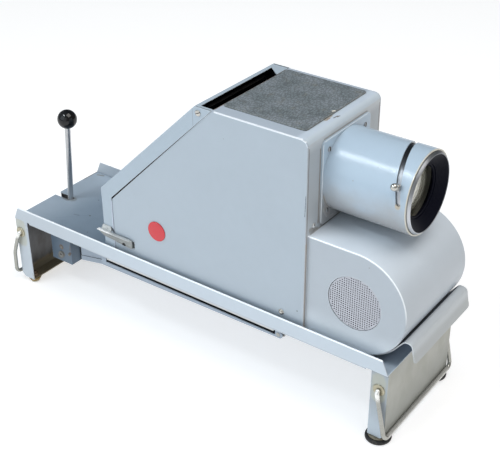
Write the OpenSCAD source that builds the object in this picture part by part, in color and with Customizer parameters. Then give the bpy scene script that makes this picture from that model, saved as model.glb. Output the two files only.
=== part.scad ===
// Opaque projector: a folded steel housing with a hinged rear hood, on a long tray with two channel legs.
// Heights below are measured from the underside of the tray deck, lengths from the middle of the tray.
// framed() moves everything so that the part stands on z = 0 with its bounding box centred on the origin.

/* [Tray] */
// Length of the tray
tray_l = 663; // [659:0.5:667]
// Width of the tray over its side flanges
tray_w = 185.4; // [185.2:0.1:187]
// Height of the side flanges above the deck's underside
flange_h = 21.5; // [18:0.5:24]
// Thickness of the folded sheet
sheet = 1.5; // [1.3:0.1:1.6]
// Half width of the stage aperture
stage_y = 71; // [66:1:72]

/* [Legs] */
// Height of the channel legs below the deck
leg_h = 107.5; // [106:0.5:109]
// Depth of the channel legs along the tray
leg_d = 25; // [24:0.5:26]
// Half width of the front leg
front_leg_y = 88.5; // [88.5:0.1:88.8]
// Half width of the rear leg
rear_leg_y = 91.5; // [91.3:0.1:91.6]
// Height of the feet below the legs
foot_h = 8.5; // [8.5:0.1:9]
// Diameter of the bail wire
wire_d = 6; // [5.6:0.1:6]

/* [Housing] */
// Width of the housing over its side panels
house_w = 171.4; // [171.2:0.1:171.4]
// Height of the housing's top above the deck's underside
house_h = 284; // [284:1:284]
// Thickness of the housing's sheet
skin = 1.2; // [1:0.1:1.2]

/* [Lens] */
// Outer diameter of the lens tube
tube_d = 110; // [108:0.5:110]
// Height of the lens axis
axis_z = 214.7; // [213:0.1:216]
// Width of the helical slot
slot_w = 6.3; // [6.2:0.1:6.6]

/* [Blower] */
// Radius of the blower casing
blower_r = 72.9; // [72:0.1:73]
// Half width of the blower casing
blower_y = 80.9; // [80:0.1:82]
// Radius of the round side grilles
grille_r = 38.1; // [36:0.1:40]

/* [Lever] */
// Diameter of the ball knob
knob_d = 30; // [28:1:32]
// Diameter of the lever rod
rod_d = 8.6; // [8:0.1:8.8]

/* [Hidden] */

$fn = 64;

// Where the origin sits in the drawing's own coordinates
frame_x = 10.71;
floor_z = -(leg_h + foot_h);

// Half sizes that many pieces use
tx = tray_l / 2;
ty = tray_w / 2;
hy = house_w / 2;
tube_r = tube_d / 2;
wire_r = wire_d / 2;

// Housing outline: front face, the line of the hood's edge and the hood's outer slope, all in the XZ plane
front_x = 200.5;
edge_c = 226.6;
slope_c = 255.65;
rear_x = -144.1;
seam_x = -125;
knee_z = slope_c + rear_x;
lip_x0 = 31.4;
lip_x1 = 37.7;
hinge_x = 37.4;
hinge_z = 276.2;

// Bail pivots in the legs
bail_x = 318.9;
bail_z = -29.3;
rear_bail_x = 322.8;
rear_bail_z = -23.2;

// Lever axis and the foot of the rod
lever_x = -270.5;
lever_z = -61;
foot_x = -306.5;
rod_lean = atan((302 - 291.3) / 144.3);

// Platen carrier hinge
plat_x = 165;
plat_z = -9.5;

// Blower axis
fan_x = 271.55;
fan_z = 79.1;

// Focus pin angle about the lens axis and its place along it
pin_a = -63.5;
pin_x = 302.8;

// Colours
paint = [0.68, 0.75, 0.80];
paint_dark = [0.54, 0.61, 0.68];
grey = [0.62, 0.63, 0.61];
chrome = [0.80, 0.80, 0.80];
steel = [0.62, 0.62, 0.60];
black = [0.06, 0.06, 0.06];

module framed() translate([-frame_x, 0, -floor_z]) children();

// A profile drawn in X and Z, extruded across Y from y0 to y1
module across(y0, y1) translate([0, y1, 0]) rotate([90, 0, 0]) linear_extrude(height = y1 - y0) children();

// A box from its two corners
module box(a, b) translate(a) cube(b - a);

// A cylinder along Y from y0 to y1 at (x, z)
module ycyl(x, z, r, y0, y1) translate([x, y1, z]) rotate([90, 0, 0]) cylinder(r = r, h = y1 - y0);

// A cylinder along X from x0 to x1 at (y, z)
module xcyl(y, z, r, x0, x1) translate([x0, y, z]) rotate([0, 90, 0]) cylinder(r = r, h = x1 - x0);

module both_sides() { children(); mirror([0, 1, 0]) children(); }

// Outline of a folded strip: the points of one face, thickness t towards the left of the way
function unit(v) = v / norm(v);
function left(v) = [-v[1], v[0]];
function mitre(p, i) =
  i == 0 ? left(unit(p[1] - p[0])) :
  i == len(p) - 1 ? left(unit(p[i] - p[i - 1])) :
  let (a = left(unit(p[i] - p[i - 1])), b = left(unit(p[i + 1] - p[i])), m = unit(a + b)) m / (m * a);
function strip(p, t) = concat(p, [for (i = [len(p) - 1:-1:0]) p[i] + t * mitre(p, i)]);

// A square with rounded corners, centred
module round_square(w, h, r) polygon([for (q = [0:3], k = [0:6])
  [(q == 0 || q == 3 ? 1 : -1) * (w / 2 - r) + r * cos(90 * q + 15 * k), (q < 2 ? 1 : -1) * (h / 2 - r) + r * sin(90 * q + 15 * k)]]);

// ---------- Tray and legs ----------

module tray() framed() color(paint) difference() {
  union() {
    box([-tx, -ty, 0], [tx, ty, sheet]);
    both_sides() across(ty - sheet, ty) polygon([[-tx, 0], [tx, 0], [tx - 9.5, flange_h], [-tx + 9.5, flange_h]]);
    both_sides() box([-300, ty - 3.4, -2.2], [300, ty, 0.5]); // folded hem under the long edges
  }
  box([-96, -stage_y, -1], [46, stage_y, 5]);
  box([-tx - 1, -4.6, -3], [-302.5, 6.4, 5]);
  translate([-302.5, 0.9, -3]) cylinder(r = 5.5, h = 8);
}

// Point at angle a below the blower's round, on a circle r about its axis
function under_round(r, a) = [fan_x + r * sin(a), fan_z - r * cos(a)];
// A foot on the deck, a wall that follows the blower's round, then a rolled hook to lift by
module end_lip() framed() color(paint)
  across(-76, 76) polygon(strip(concat([[262, 2 * sheet], [280.4, 2 * sheet]],
    [for (a = [22:6:58]) under_round(blower_r + 1, a)],
    [[337.2, 43.4], [339.3, 46.2], [341.4, 48.2], [344.5, 48.9], [348, 48.8], [350.6, 47.9], [352.9, 46.2], [354.2, 42.5], [355.5, 34.8], [356.9, 28.8], [359, 21]]), -sheet));

// Open channel leg in profile: a plate outside, flanges at top, bottom and both ends
module leg(half_w, px, pz) difference() {
  across(-half_w, half_w) polygon([[tx - leg_d, 0], [tx, 0], [tx, -leg_h + 6], [tx - 6, -leg_h], [tx - leg_d, -leg_h]]);
  across(-half_w + sheet, half_w - sheet)
    polygon([[tx - leg_d - 1, -sheet], [tx - sheet, -sheet], [tx - sheet, -leg_h + 6.6], [tx - 6.6, -leg_h + sheet], [tx - leg_d - 1, -leg_h + sheet]]);
  ycyl(px, pz, 5.5, -half_w - 1, half_w + 1);
}

module front_leg() framed() color(grey) difference() {
  leg(front_leg_y, bail_x, bail_z);
  for (s = [-1, 1]) translate([318, s * 78.7, -leg_h - 1]) cylinder(r = 3, h = 4);
}

module rear_leg() framed() color(paint) difference() {
  mirror([1, 0, 0]) leg(rear_leg_y, rear_bail_x, rear_bail_z);
  box([-tx - 1, -5.2, -57], [-tx + 3, 6.8, 1]);
  box([-tx - 1, -5.2, -3], [-297, 6.8, 1]);
  for (s = [-1, 1]) translate([-314, s * 82.5, -leg_h - 1]) cylinder(r = 3, h = 4);
}

module bush(y) difference() {
  union() {
    ycyl(0, 0, 5.5, y - 3.5, y);
    ycyl(0, 0, 8.5, y, y + 1.6);
  }
  ycyl(0, 0, wire_r + 0.05, y - 5, y + 3);
}

module leg_bushes() framed() color([0.72, 0.68, 0.55]) both_sides() {
  translate([bail_x, 0, bail_z]) bush(front_leg_y);
  translate([-rear_bail_x, 0, rear_bail_z]) bush(rear_leg_y);
}

module front_feet() framed() color(black) both_sides() translate([318, 78.7, floor_z]) difference() {
  union() {
    cylinder(r1 = 16.4, r2 = 17.9, h = 1.5);
    translate([0, 0, 1.5]) cylinder(r = 17.9, h = 4.5);
  }
  translate([0, 0, -1]) cylinder(r = 5.5, h = 4);
  cylinder(r = 3, h = 8);
}

module front_foot_cups() framed() color([0.55, 0.47, 0.35]) both_sides() translate([318, 78.7, -leg_h - 2.5]) difference() {
  cylinder(r = 14, h = 2.5);
  translate([0, 0, -1]) cylinder(r = 3, h = 5);
}

module rear_feet() framed() color([0.62, 0.50, 0.28]) both_sides() translate([-314, 82.5, -leg_h]) difference() {
  translate([0, 0, -5.5]) cylinder(r1 = 7.6, r2 = 10, h = 5.5);
  translate([0, 0, -6]) cylinder(r = 3, h = 8);
}

module rear_foot_pads() framed() color([0.85, 0.85, 0.80]) both_sides() translate([-314, 82.5, floor_z]) difference() {
  cylinder(r = 6.35, h = 3);
  translate([0, 0, 1]) cylinder(r = 3, h = 3);
}

module foot_screws() framed() color(steel) both_sides() {
  translate([318, 78.7, floor_z + 3]) cylinder(r = 3, h = 15);
  translate([318, 78.7, floor_z + 1]) cylinder(r = 5.2, h = 2);
  translate([318, 78.7, -leg_h + sheet]) cylinder(r = 5.8, h = 5, $fn = 6);
  translate([-314, 82.5, floor_z + 1]) cylinder(r = 3, h = 17);
  translate([-314, 82.5, -leg_h + sheet]) cylinder(r = 5.8, h = 5, $fn = 6);
}

// ---------- Carrying bails ----------

// A quarter ring of wire in the YZ plane, centre (y, z), from direction a to a + 90 degrees
module bend(y, z, r, a) translate([0, y, z]) rotate([90, 0, 90]) rotate_extrude(start = a, angle = 90) translate([r, 0]) circle(wire_r);

module zwire(y, z0, z1) translate([0, y, z0]) cylinder(r = wire_r, h = z1 - z0);

// Half of a bail's upper part: stub through the bush, tight bend, arm down by h
module bail_top(arm_y, stub_y, r, h) {
  ycyl(0, 0, wire_r, stub_y, arm_y - r);
  bend(arm_y - r, -r, r, 0);
  zwire(arm_y, -h, -r);
}

// Half of its lower part: arm down by h, wide bend, crossbar to the middle
module bail_low(arm_y, r, h) {
  zwire(arm_y, -h + r, 0);
  bend(arm_y - r, -h + r, r, 270);
  ycyl(0, -h, wire_r, 0, arm_y - r);
}

module front_bail() framed() color(chrome) translate([bail_x, 0, bail_z]) rotate([0, -12.2, 0]) both_sides() {
  bail_top(94.4, 82, 4, 30);
  translate([0, 0, -30]) bail_low(94.4, 9, 44.4);
}

module rear_bail() framed() color(chrome) both_sides() {
  translate([-rear_bail_x, 0, rear_bail_z]) rotate([0, 19.8, 0]) bail_top(97, 85, 3.6, 42.3);
  translate([-337.1, 0, -63]) {
    translate([0, 97, 0]) sphere(wire_r + 0.1);
    rotate([0, 2, 0]) bail_low(97, 9, 38.5);
  }
}

// ---------- Lever ----------

module lever_bracket() difference() {
  union() {
    box([-291, -60, -74], [-249, -58.5, 0]);
    box([-250.5, -60, -74], [-249, -39, 0]);
    box([-291, -60, -1.5], [-249, -39, 0]);
  }
  ycyl(lever_x, lever_z, 4.05, -61, -57);
}

module lever_bracket_near() framed() color(paint_dark) lever_bracket();
module lever_bracket_far() framed() color(paint_dark) mirror([0, 1, 0]) lever_bracket();

module lever_shaft() framed() color(steel) {
  ycyl(lever_x, lever_z, 4, -62, 62);
  both_sides() ycyl(lever_x, lever_z, 5.6, 60.1, 61.3);
}

module lever_arm() framed() color(steel) difference() {
  union() {
    ycyl(lever_x, lever_z, 6.4, -8, 8);
    box([-308.5, -5, -65.2], [lever_x, 5, -57.4]);
    translate([foot_x, 0, lever_z]) rotate([0, rod_lean, 0]) translate([0, 0, -3]) cylinder(r = 6.2, h = 15.5);
  }
  ycyl(lever_x, lever_z, 4, -10, 10);
  ycyl(foot_x, lever_z, 2.5, -10, 10);
  translate([foot_x, 0, lever_z]) rotate([0, rod_lean, 0]) translate([0, 0, 4]) cylinder(r = rod_d / 2, h = 20);
}

module cam_rollers() framed() color(steel) {
  ycyl(foot_x, lever_z, 2.5, -17, 17);
  both_sides() ycyl(foot_x, lever_z, 6, 7, 15);
}

module lever_rod() framed() color([0.78, 0.79, 0.80])
  translate([foot_x, 0, lever_z]) rotate([0, rod_lean, 0]) translate([0, 0, 4]) cylinder(r = rod_d / 2, h = 196);

module lever_knob() framed() color(black)
  translate([foot_x, 0, lever_z]) rotate([0, rod_lean, 0]) translate([0, 0, 205.9]) difference() {
    sphere(knob_d / 2);
    translate([0, 0, -25]) cylinder(r = 9, h = 11);
    translate([0, 0, -20]) cylinder(r = rod_d / 2, h = 14.1);
  }

// ---------- Platen ----------

module platen_carrier() framed() color(paint) difference() {
  union() {
    both_sides() difference() {
      across(88.5, 90) union() {
        polygon([[-150, -4.6], [167, -4.6], [167, -14.7], [-150, -19]]);
        translate([166.5, -9.7]) circle(5.1);
      }
      box([-143, 88, -11.7], [160, 91, 0]);
    }
    box([-150, -90, -14.7], [166, 90, -13.2]);
    box([-151.5, -90, -19], [-150, 90, -4.6]);
    box([-151.5, -61, -39.2], [-150, 61, -4.6]);
    // arms down to the lever, joined by a sloping bottom
    both_sides() across(58.5, 60) polygon([[-150.5, -39.6], [-150.5, -12], [-225.5, -31.6], [-225.5, -54.2]]);
    both_sides() across(59.5, 61) polygon([[-150.5, -39.6], [-150.5, -31.6], [-225.5, -46.2], [-225.5, -54.2]]);
    across(-59, 59) polygon(strip([[-225.5, -54.2], [-150.5, -39.6]], 1.5));
    // tongue under the lever's rollers
    box([-225.5, -20, -70.2], [-223.5, 20, -53]);
    box([-310, -20, -70.2], [-223.5, 20, -68.2]);
  }
  ycyl(plat_x, plat_z, 3.05, -92, 92);
}

module carrier_hinge_ears() framed() color(steel) both_sides() difference() {
  union() {
    box([158, 83, -12.8], [172, 86, 0]);
    box([158, 70, -2], [172, 86, 0]);
  }
  ycyl(plat_x, plat_z, 3, 80, 88);
}

module carrier_hinge_pins() framed() color(steel) both_sides() ycyl(plat_x, plat_z, 3, 80, 90.4);

module pressure_plate() framed() color([0.74, 0.77, 0.78]) difference() {
  box([-142, -89.5, -7.6], [157, 89.5, -4.6]);
  for (x = [-118, -98, -78, -58], y = [-30, 30]) translate([x, y, -9]) cylinder(r = 3, h = 6);
}

// Bow springs between the carrier's floor and the pressure plate
module leaf_springs() framed() color([0.45, 0.46, 0.48]) for (x0 = [-95, 35], y0 = [-45, 45])
  across(y0 - 9, y0 + 9) polygon(strip([for (i = [-6:6]) [x0 + 5.5 * i, -13.1 + 4.6 * (1 - pow(i / 6, 2))]], 0.8));

// ---------- Stage ----------

module stage_glass() framed() color([0.75, 0.85, 0.85, 0.5]) box([-100, -75, sheet], [50, 75, sheet + 3]);

module stage_glass_frame() framed() color(black) difference() {
  box([-108, -81, sheet], [58, 81, 6]);
  box([-100.1, -75.1, 0], [50.1, 75.1, sheet + 3]);
  box([-96, -stage_y, 0], [46, stage_y, 8]);
}

// ---------- Housing and hood ----------

module side_outline() {
  difference() {
    polygon([[seam_x + 0.4, sheet], [front_x, sheet], [front_x, house_h - 9], [front_x - 9, house_h], [57.8, house_h], [seam_x + 0.4, 98.9]]);
    translate([seam_x - 0.6, sheet - 1]) square(6);
  }
  intersection() {
    translate([front_x - 9, house_h - 9]) circle(9);
    translate([front_x - 9, house_h - 9]) square(10);
  }
  translate([seam_x + 5.4, sheet + 5]) circle(5);
  translate([hinge_x, hinge_z]) circle(7.4);
  polygon([[32.6, 271.4], [42.2, 281], [53, 273.4], [40.2, 260.6]]);
}

module housing_shell() framed() color(paint) difference() {
  union() {
    both_sides() across(hy - skin, hy) side_outline();
    // front wall with its rounded top edge, then the top
    box([front_x - skin, -hy + 0.5, sheet], [front_x, hy - 0.5, house_h - 9]);
    across(-hy + 0.5, hy - 0.5) difference() {
      translate([front_x - 9, house_h - 9]) circle(9);
      translate([front_x - 9, house_h - 9]) circle(9 - skin);
      translate([front_x - 20, house_h - 30]) square([11, 40]);
      translate([front_x - 20, house_h - 29]) square([30, 20]);
    }
    box([57.8, -hy + 0.5, house_h - skin], [front_x - 9, hy - 0.5, house_h]);
    // foot flanges on the deck
    both_sides() box([-115, hy - 4.5, sheet], [front_x - 0.5, hy - 0.5, sheet + 1.2]);
    // lugs for the latch's pin
    for (z = [27.2, 40.6]) box([-92.4, -hy + 0.5, z], [-86.8, -80, z + 2.2]);
    // pivot bosses
    both_sides() ycyl(hinge_x, hinge_z, 6, hy - 5, hy - 0.5);
  }
  xcyl(0, axis_z, 53.2, front_x - 5, front_x + 5);
  box([front_x - 5, -62, 30], [front_x + 5, 62, 128]);
  ycyl(hinge_x, hinge_z, 2.5, -hy - 1, hy + 1);
  // cut-outs for the mains inlet and the switch
  box([117.8, hy - 6, 24.8], [142.2, hy + 1, 43.2]);
  box([68.8, hy - 6, 26.8], [91.2, hy + 1, 41.2]);
  // slit for the latch's bent end, and the holes of its pin
  box([-92.2, -hy - 1, 29.6], [-87.4, -hy + 2, 40.4]);
  translate([-89.6, -82.6, 20]) cylinder(r = 1.2, h = 30);
}

module top_mat() framed() color([0.45, 0.49, 0.50])
  translate([(60 + 184.5) / 2, (77 - 66) / 2, house_h]) linear_extrude(height = 2) round_square(124.5, 143, 5);

module rear_hood() framed() color(paint) difference() {
  union() {
    // rear wall, slope and top lip in one folded sheet
    across(-hy - 1.2, hy + 1.2) polygon(strip([[lip_x0, house_h], [rear_x, knee_z], [rear_x, 2.4]], 1.2));
    box([lip_x0, -hy + 1.4, house_h - 1.2], [lip_x1, hy - 1.4, house_h]);
    box([lip_x0, -hy + 1.4, house_h - 1.2], [56.9, -81, house_h]);
    translate([0, 0, house_h - 1.2]) linear_extrude(height = 1.2)
      polygon([[lip_x0, hy - 1.4], [56.9, hy - 1.4], [56.9, 57.4], [53.4, 59.9], [35.7, 74.6]]);
    // side flanges just outside the housing's panels
    both_sides() across(hy + 0.2, hy + 1.2)
      polygon([[rear_x, 2.4], [rear_x, knee_z], [lip_x0, house_h], [57.2, house_h], [57.2, house_h - 0.6], [seam_x, 101.6], [seam_x, 2.4]]);
  }
  ycyl(hinge_x, hinge_z, 2.6, -hy - 5, hy + 5);
}

module hood_pivot_screws() framed() color(chrome) both_sides() difference() {
  union() {
    ycyl(hinge_x, hinge_z, 2.5, hy - 5.5, hy + 1.3);
    ycyl(hinge_x, hinge_z, 4.6, hy + 1.3, hy + 2.7);
  }
  translate([hinge_x, hy + 2.8, hinge_z]) rotate([0, 25, 0]) cube([12, 1.4, 1.1], center = true);
}

// The catch on the hood, with its rivet
module hood_catch() framed() color([0.70, 0.72, 0.70]) {
  across(-hy - 2.6, -hy - 1.2) polygon([[-148.6, 43.6], [-144.2, 52.4], [-128.6, 52.4], [-126, 47], [-131, 43.6]]);
  box([-144, -hy - 4.2, 43.6], [-131, -hy - 1.2, 45]);
  ycyl(-137.5, 49.6, 1.5, -hy - 3.4, -hy - 2.6);
}

// The latch bar: a flat bar with its upper edge bent outwards and its front end bent in round a pin
module hood_latch() framed() color([0.60, 0.61, 0.59]) difference() {
  union() {
    across(-88.7, -87.4)
      polygon([[-154, 39.6], [-143.2, 33.4], [-127.6, 32.2], [-103.4, 29.4], [-90.4, 29], [-88.8, 36.8], [-90.4, 41.4], [-94.2, 42.7], [-154, 42.7]]);
    across(-91.4, -87.4) polygon([[-154, 41.5], [-93, 41.5], [-94.2, 42.7], [-154, 42.7]]);
    box([-90.8, -87.6, 30.2], [-88.9, -82.6, 39.8]);
    translate([-89.6, -82.6, 30.2]) cylinder(r = 2.3, h = 9.6);
  }
  ycyl(-105.9, 31, 1.9, -93, -86);
  translate([-89.6, -82.6, 29]) cylinder(r = 1.25, h = 13);
}

module latch_pin() framed() color(steel) translate([-89.6, -82.6, 26.4]) cylinder(r = 1.2, h = 17.2);

module badge() framed() color([0.78, 0.12, 0.16]) translate([-43.4, -hy, 74.3]) rotate([90, 0, 0]) {
  cylinder(r = 15, h = 1.1);
  translate([0, 0, 1.1]) cylinder(r1 = 15, r2 = 14.2, h = 0.5);
}

module body_screws() framed() color(chrome) {
  // domed pins low on both sides
  both_sides() translate([166.6, hy, 26.4]) {
    rotate([-90, 0, 0]) cylinder(r = 4, h = 1.2);
    translate([0, -1.2, 0]) intersection() { sphere(4.6); rotate([-90, 0, 0]) translate([0, 0, 2.3]) cylinder(r = 3.7, h = 5); }
  }
  both_sides() translate([0, 67.6, 0]) difference() {
    xcyl(0, 161, 3.1, front_x, front_x + 1.5);
    translate([front_x + 1.7, 0, 161]) rotate([35, 0, 0]) cube([1.4, 1, 8], center = true);
  }
  both_sides() {
    ycyl(-269.5, -47.6, 2.6, 60, 61.2);
    ycyl(-254, -56.7, 2.2, 60, 61);
  }
}

// ---------- Mirror and lamp ----------

module on_mirror() translate([-25.3, 0, axis_z]) rotate([0, -45, 0]) children();

module front_mirror() framed() color([0.85, 0.88, 0.90]) on_mirror() translate([-75, -75, 0]) cube([150, 150, 4]);

module mirror_frame() framed() color(black) {
  both_sides() on_mirror() difference() {
    translate([-72, 73, -1.6]) cube([144, hy - skin - 73, 7.2]);
    translate([-76, 70, 0]) cube([152, 5.1, 4]);
  }
}

module lamp_socket() framed() color([0.85, 0.83, 0.78]) translate([140, 0, sheet]) difference() {
  union() {
    translate([-24, -24, 0]) cube([48, 48, 3]);
    cylinder(r = 19, h = 30);
  }
  translate([0, 0, 5]) cylinder(r = 13.5, h = 30);
}

module lamp_base() framed() color([0.76, 0.70, 0.50]) translate([140, 0, sheet + 5]) cylinder(r = 13.4, h = 27);

module lamp_glass() framed() color([0.9, 0.9, 0.9, 0.5]) translate([140, 0, 0]) {
  translate([0, 0, sheet + 32]) cylinder(r = 11, h = 14);
  translate([0, 0, sheet + 45]) cylinder(r1 = 11, r2 = 20, h = 12);
  translate([0, 0, sheet + 57]) cylinder(r = 20, h = 52);
  translate([0, 0, sheet + 109]) intersection() { sphere(20); cylinder(r = 30, h = 30); }
}

module lamp_reflector() framed() color([0.8, 0.8, 0.78]) translate([140, 0, 0]) {
  difference() {
    translate([0, 0, 48]) cylinder(r = 47, h = 76);
    translate([0, 0, 47]) cylinder(r = 46, h = 80);
    translate([-60, -60, 40]) cube([70, 120, 100]);
  }
  both_sides() box([10, 43, sheet], [22, 45, 60]);
}

module heat_glass() framed() color([0.7, 0.85, 0.8, 0.5]) translate([80, 0, 72]) rotate([0, 28, 0]) translate([-2, -60, -50]) cube([4, 120, 88]);

module light_baffle() framed() color(black) {
  box([72, -hy + skin, 142], [front_x - skin, hy - skin, 143]);
  both_sides() box([146, hy - skin - 0.8, sheet + 1.2], [180, hy - skin, 143]);
  // supports for the heat glass
  both_sides() translate([80, 0, 72]) rotate([0, 28, 0]) difference() {
    translate([-4, 57, -50]) cube([8, hy - skin - 57, 88]);
    translate([-2, 50, -51]) cube([4, 10, 90]);
  }
}

// ---------- Lens ----------

function slot_x(a) = pin_x - 0.2 * (a - pin_a);
// One ring of the slot cutter at angle a: four corners, square to the way of the slot
function slot_ring(a) = let (w = slot_w / 2, da = w * 0.204 / tube_r * 180 / PI, dx = w * 0.979)
  [for (c = [[-1, 50], [1, 50], [1, 58], [-1, 58]])
    [slot_x(a) + c[0] * dx, c[1] * sin(a + c[0] * da), c[1] * cos(a + c[0] * da)]];
module slot_cutter(a0, a1, n) {
  pts = [for (i = [0:n]) each slot_ring(a0 + (a1 - a0) * i / n)];
  faces = concat([[2, 1, 0], [3, 2, 0], [4 * n, 4 * n + 1, 4 * n + 2], [4 * n, 4 * n + 2, 4 * n + 3]],
    [for (i = [0:n - 1], k = [0:3]) each let (a = 4 * i + k, b = 4 * i + (k + 1) % 4) [[b, a + 4, a], [b + 4, a + 4, b]]]);
  polyhedron(points = pts, faces = faces);
  for (a = [a0, a1]) translate([slot_x(a), 0, 0]) rotate([-a, 0, 0]) translate([0, 0, 48]) cylinder(r = slot_w / 2 + 0.06, h = 12);
}

module lens_tube() framed() color([0.63, 0.70, 0.74]) translate([0, 0, axis_z]) difference() {
  union() {
    xcyl(0, 0, tube_r, front_x, 317.5);
    translate([front_x, 0, -1.45]) rotate([90, 0, 90]) linear_extrude(height = 3) round_square(111.6, 115.5, 5);
  }
  xcyl(0, 0, 52.9, front_x - 1, 320);
  slot_cutter(-83.6, 80, 41);
}

module lens_tube_screws() framed() color(chrome) for (sy = [-1, 1], sz = [-1, 1])
  translate([front_x + 3, sy * 42.3, axis_z + sz * 42.3]) difference() {
    rotate([0, 90, 0]) cylinder(r = 3.4, h = 1.5);
    translate([1.6, 0, 0]) rotate([sy * 30 + sz * 15, 0, 0]) cube([1.4, 0.9, 9], center = true);
  }

module lens_barrel() framed() color(black) translate([0, 0, axis_z]) difference() {
  rotate([0, 90, 0]) rotate_extrude() polygon([[49.4, 238], [52.3, 238], [52.3, 318.4], [50.2, 321.4], [49.4, 321.4]]);
  translate([pin_x, 0, 0]) rotate([-pin_a, 0, 0]) translate([0, 0, 45]) cylinder(r = 2.8, h = 12);
}

module lens_hood_ring() framed() color(black) translate([0, 0, axis_z]) rotate([0, 90, 0]) rotate_extrude()
  polygon([[49.4, 320.6], [49.4, 314], [44.4, 306.6], [33, 306.6], [32.4, 307.2], [32.4, 308.6], [33, 309.2], [48.6, 320.6]]);

module focus_pin() framed() color(chrome) translate([pin_x, 0, axis_z]) rotate([-pin_a, 0, 0]) {
  translate([0, 0, 50]) cylinder(r = 2.8, h = 16);
  translate([0, 0, 65.5]) cylinder(r = 3.4, h = 1);
  translate([0, 0, 66.5]) difference() {
    sphere(4.7);
    translate([0, 0, -6]) cylinder(r = 6, h = 4);
  }
}

module lens_cell() framed() color([0.12, 0.12, 0.12]) translate([0, 0, axis_z]) rotate([0, 90, 0]) rotate_extrude()
  polygon([[45, 236], [48.8, 236], [48.8, 305.8], [44.2, 305.8], [44.2, 304], [45, 303.2]]);

module lens(x, r, big, flip, t) translate([x, 0, axis_z]) mirror([flip, 0, 0]) rotate([0, 90, 0]) intersection() {
  translate([0, 0, -t]) cylinder(r = r, h = 40);
  translate([0, 0, 10 - big]) sphere(big, $fn = 96);
}

module front_lens() framed() color([0.5, 0.55, 0.5, 0.5]) lens(294.6, 44.9, 110, 0, 3);
module rear_lens() framed() color([0.5, 0.55, 0.5, 0.5]) lens(249, 44.9, 110, 1, 3);

// ---------- Blower ----------

module blower_outline(d) {
  difference() {
    translate([fan_x, fan_z]) circle(blower_r - d, $fn = 128);
    translate([front_x - 20, fan_z - blower_r - 1]) square([20, 2 * blower_r + 2]);
  }
  translate([front_x, fan_z - blower_r + d]) square([fan_x - front_x, 2 * (blower_r - d)]);
}

module blower_shell() framed() color([0.64, 0.68, 0.70]) difference() {
  across(-blower_y, blower_y) blower_outline(0);
  difference() {
    across(-blower_y + 1.2, blower_y - 1.2) union() { blower_outline(1.2); translate([front_x - 3, fan_z - blower_r + 1.2]) square([4, 2 * blower_r - 2.4]); }
    // mounting flange inside the open end
    difference() {
      box([front_x - 1, -blower_y, 0], [front_x + 1.2, blower_y, 160]);
      box([front_x - 2, -68, 20], [front_x + 2, 68, 138]);
    }
  }
  ycyl(fan_x, fan_z, grille_r - 2, -blower_y - 1, blower_y + 1);
}

module blower_grilles() framed() color([0.55, 0.58, 0.60]) both_sides() {
  difference() {
    ycyl(fan_x, fan_z, grille_r - 2, blower_y - 1.2, blower_y);
    ycyl(fan_x, fan_z, grille_r - 4, blower_y - 0.8, blower_y + 1);
  }
}

module blower_motor() framed() color([0.3, 0.32, 0.3]) difference() {
  union() {
    ycyl(fan_x, fan_z, 27, -22, 22);
    both_sides() ycyl(fan_x, fan_z, 10, 22, 27);
  }
  ycyl(fan_x, fan_z, 3.05, -30, 30);
}

module motor_bracket() framed() color(steel) difference() {
  union() {
    box([fan_x - 55, -20, fan_z - blower_r + 1.2], [fan_x, 20, 9.2]);
    box([fan_x - 30, -12, 9], [fan_x + 6, 12, 62]);
  }
  ycyl(fan_x, fan_z, 27, -20, 20);
  ycyl(fan_x - 12, fan_z - 48, 9, -20, 20);
}

module fan_shaft() framed() color(steel) {
  ycyl(fan_x, fan_z, 3, -72, 72);
}

// Squirrel-cage wheels on both ends of the shaft
module impellers() framed() color([0.50, 0.52, 0.52]) both_sides() {
  difference() {
    ycyl(fan_x, fan_z, 58, 32, 33.2);
    ycyl(fan_x, fan_z, 3, 30, 40);
  }
  difference() {
    ycyl(fan_x, fan_z, 9, 33.2, 44);
    ycyl(fan_x, fan_z, 3, 30, 50);
  }
  difference() {
    ycyl(fan_x, fan_z, 58, 69, 70.5);
    ycyl(fan_x, fan_z, 46, 60, 80);
  }
  for (i = [0:19]) translate([fan_x, 51.2, fan_z]) rotate([0, i * 18, 0]) translate([52, 0, 0]) rotate([0, 32, 0]) cube([10, 36.2, 0.8], center = true);
}

// ---------- Mains ----------

module mains_inlet() framed() color(black) translate([130, hy, 34]) difference() {
  union() {
    translate([-17, 0, -12]) cube([34, 2.5, 24]);
    translate([-12, -14, -9]) cube([24, 14.5, 18]);
  }
  translate([-10, -11, -7]) cube([20, 14, 14]);
}

module power_switch() framed() color(black) translate([80, hy, 34]) difference() {
  union() {
    translate([-14, 0, -9]) cube([28, 1.6, 18]);
    translate([-11, -12, -7]) cube([22, 12.5, 14]);
  }
  translate([-9.5, -9, -5.6]) cube([19, 12, 11.2]);
  translate([0, -2.4, -6.5]) cylinder(r = 1.25, h = 13);
}

module switch_rocker() framed() color([0.15, 0.15, 0.15]) translate([80, hy - 2.4, 34 - 5.2]) {
  linear_extrude(height = 10.4) polygon([[-8.2, 2.6], [0, 2.6], [8.2, 4.95], [8.2, 0], [5.5, -4], [-5.5, -4], [-8.2, 0]]);
  translate([0, 0, -1.2]) cylinder(r = 1.2, h = 12.8);
}

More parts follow.
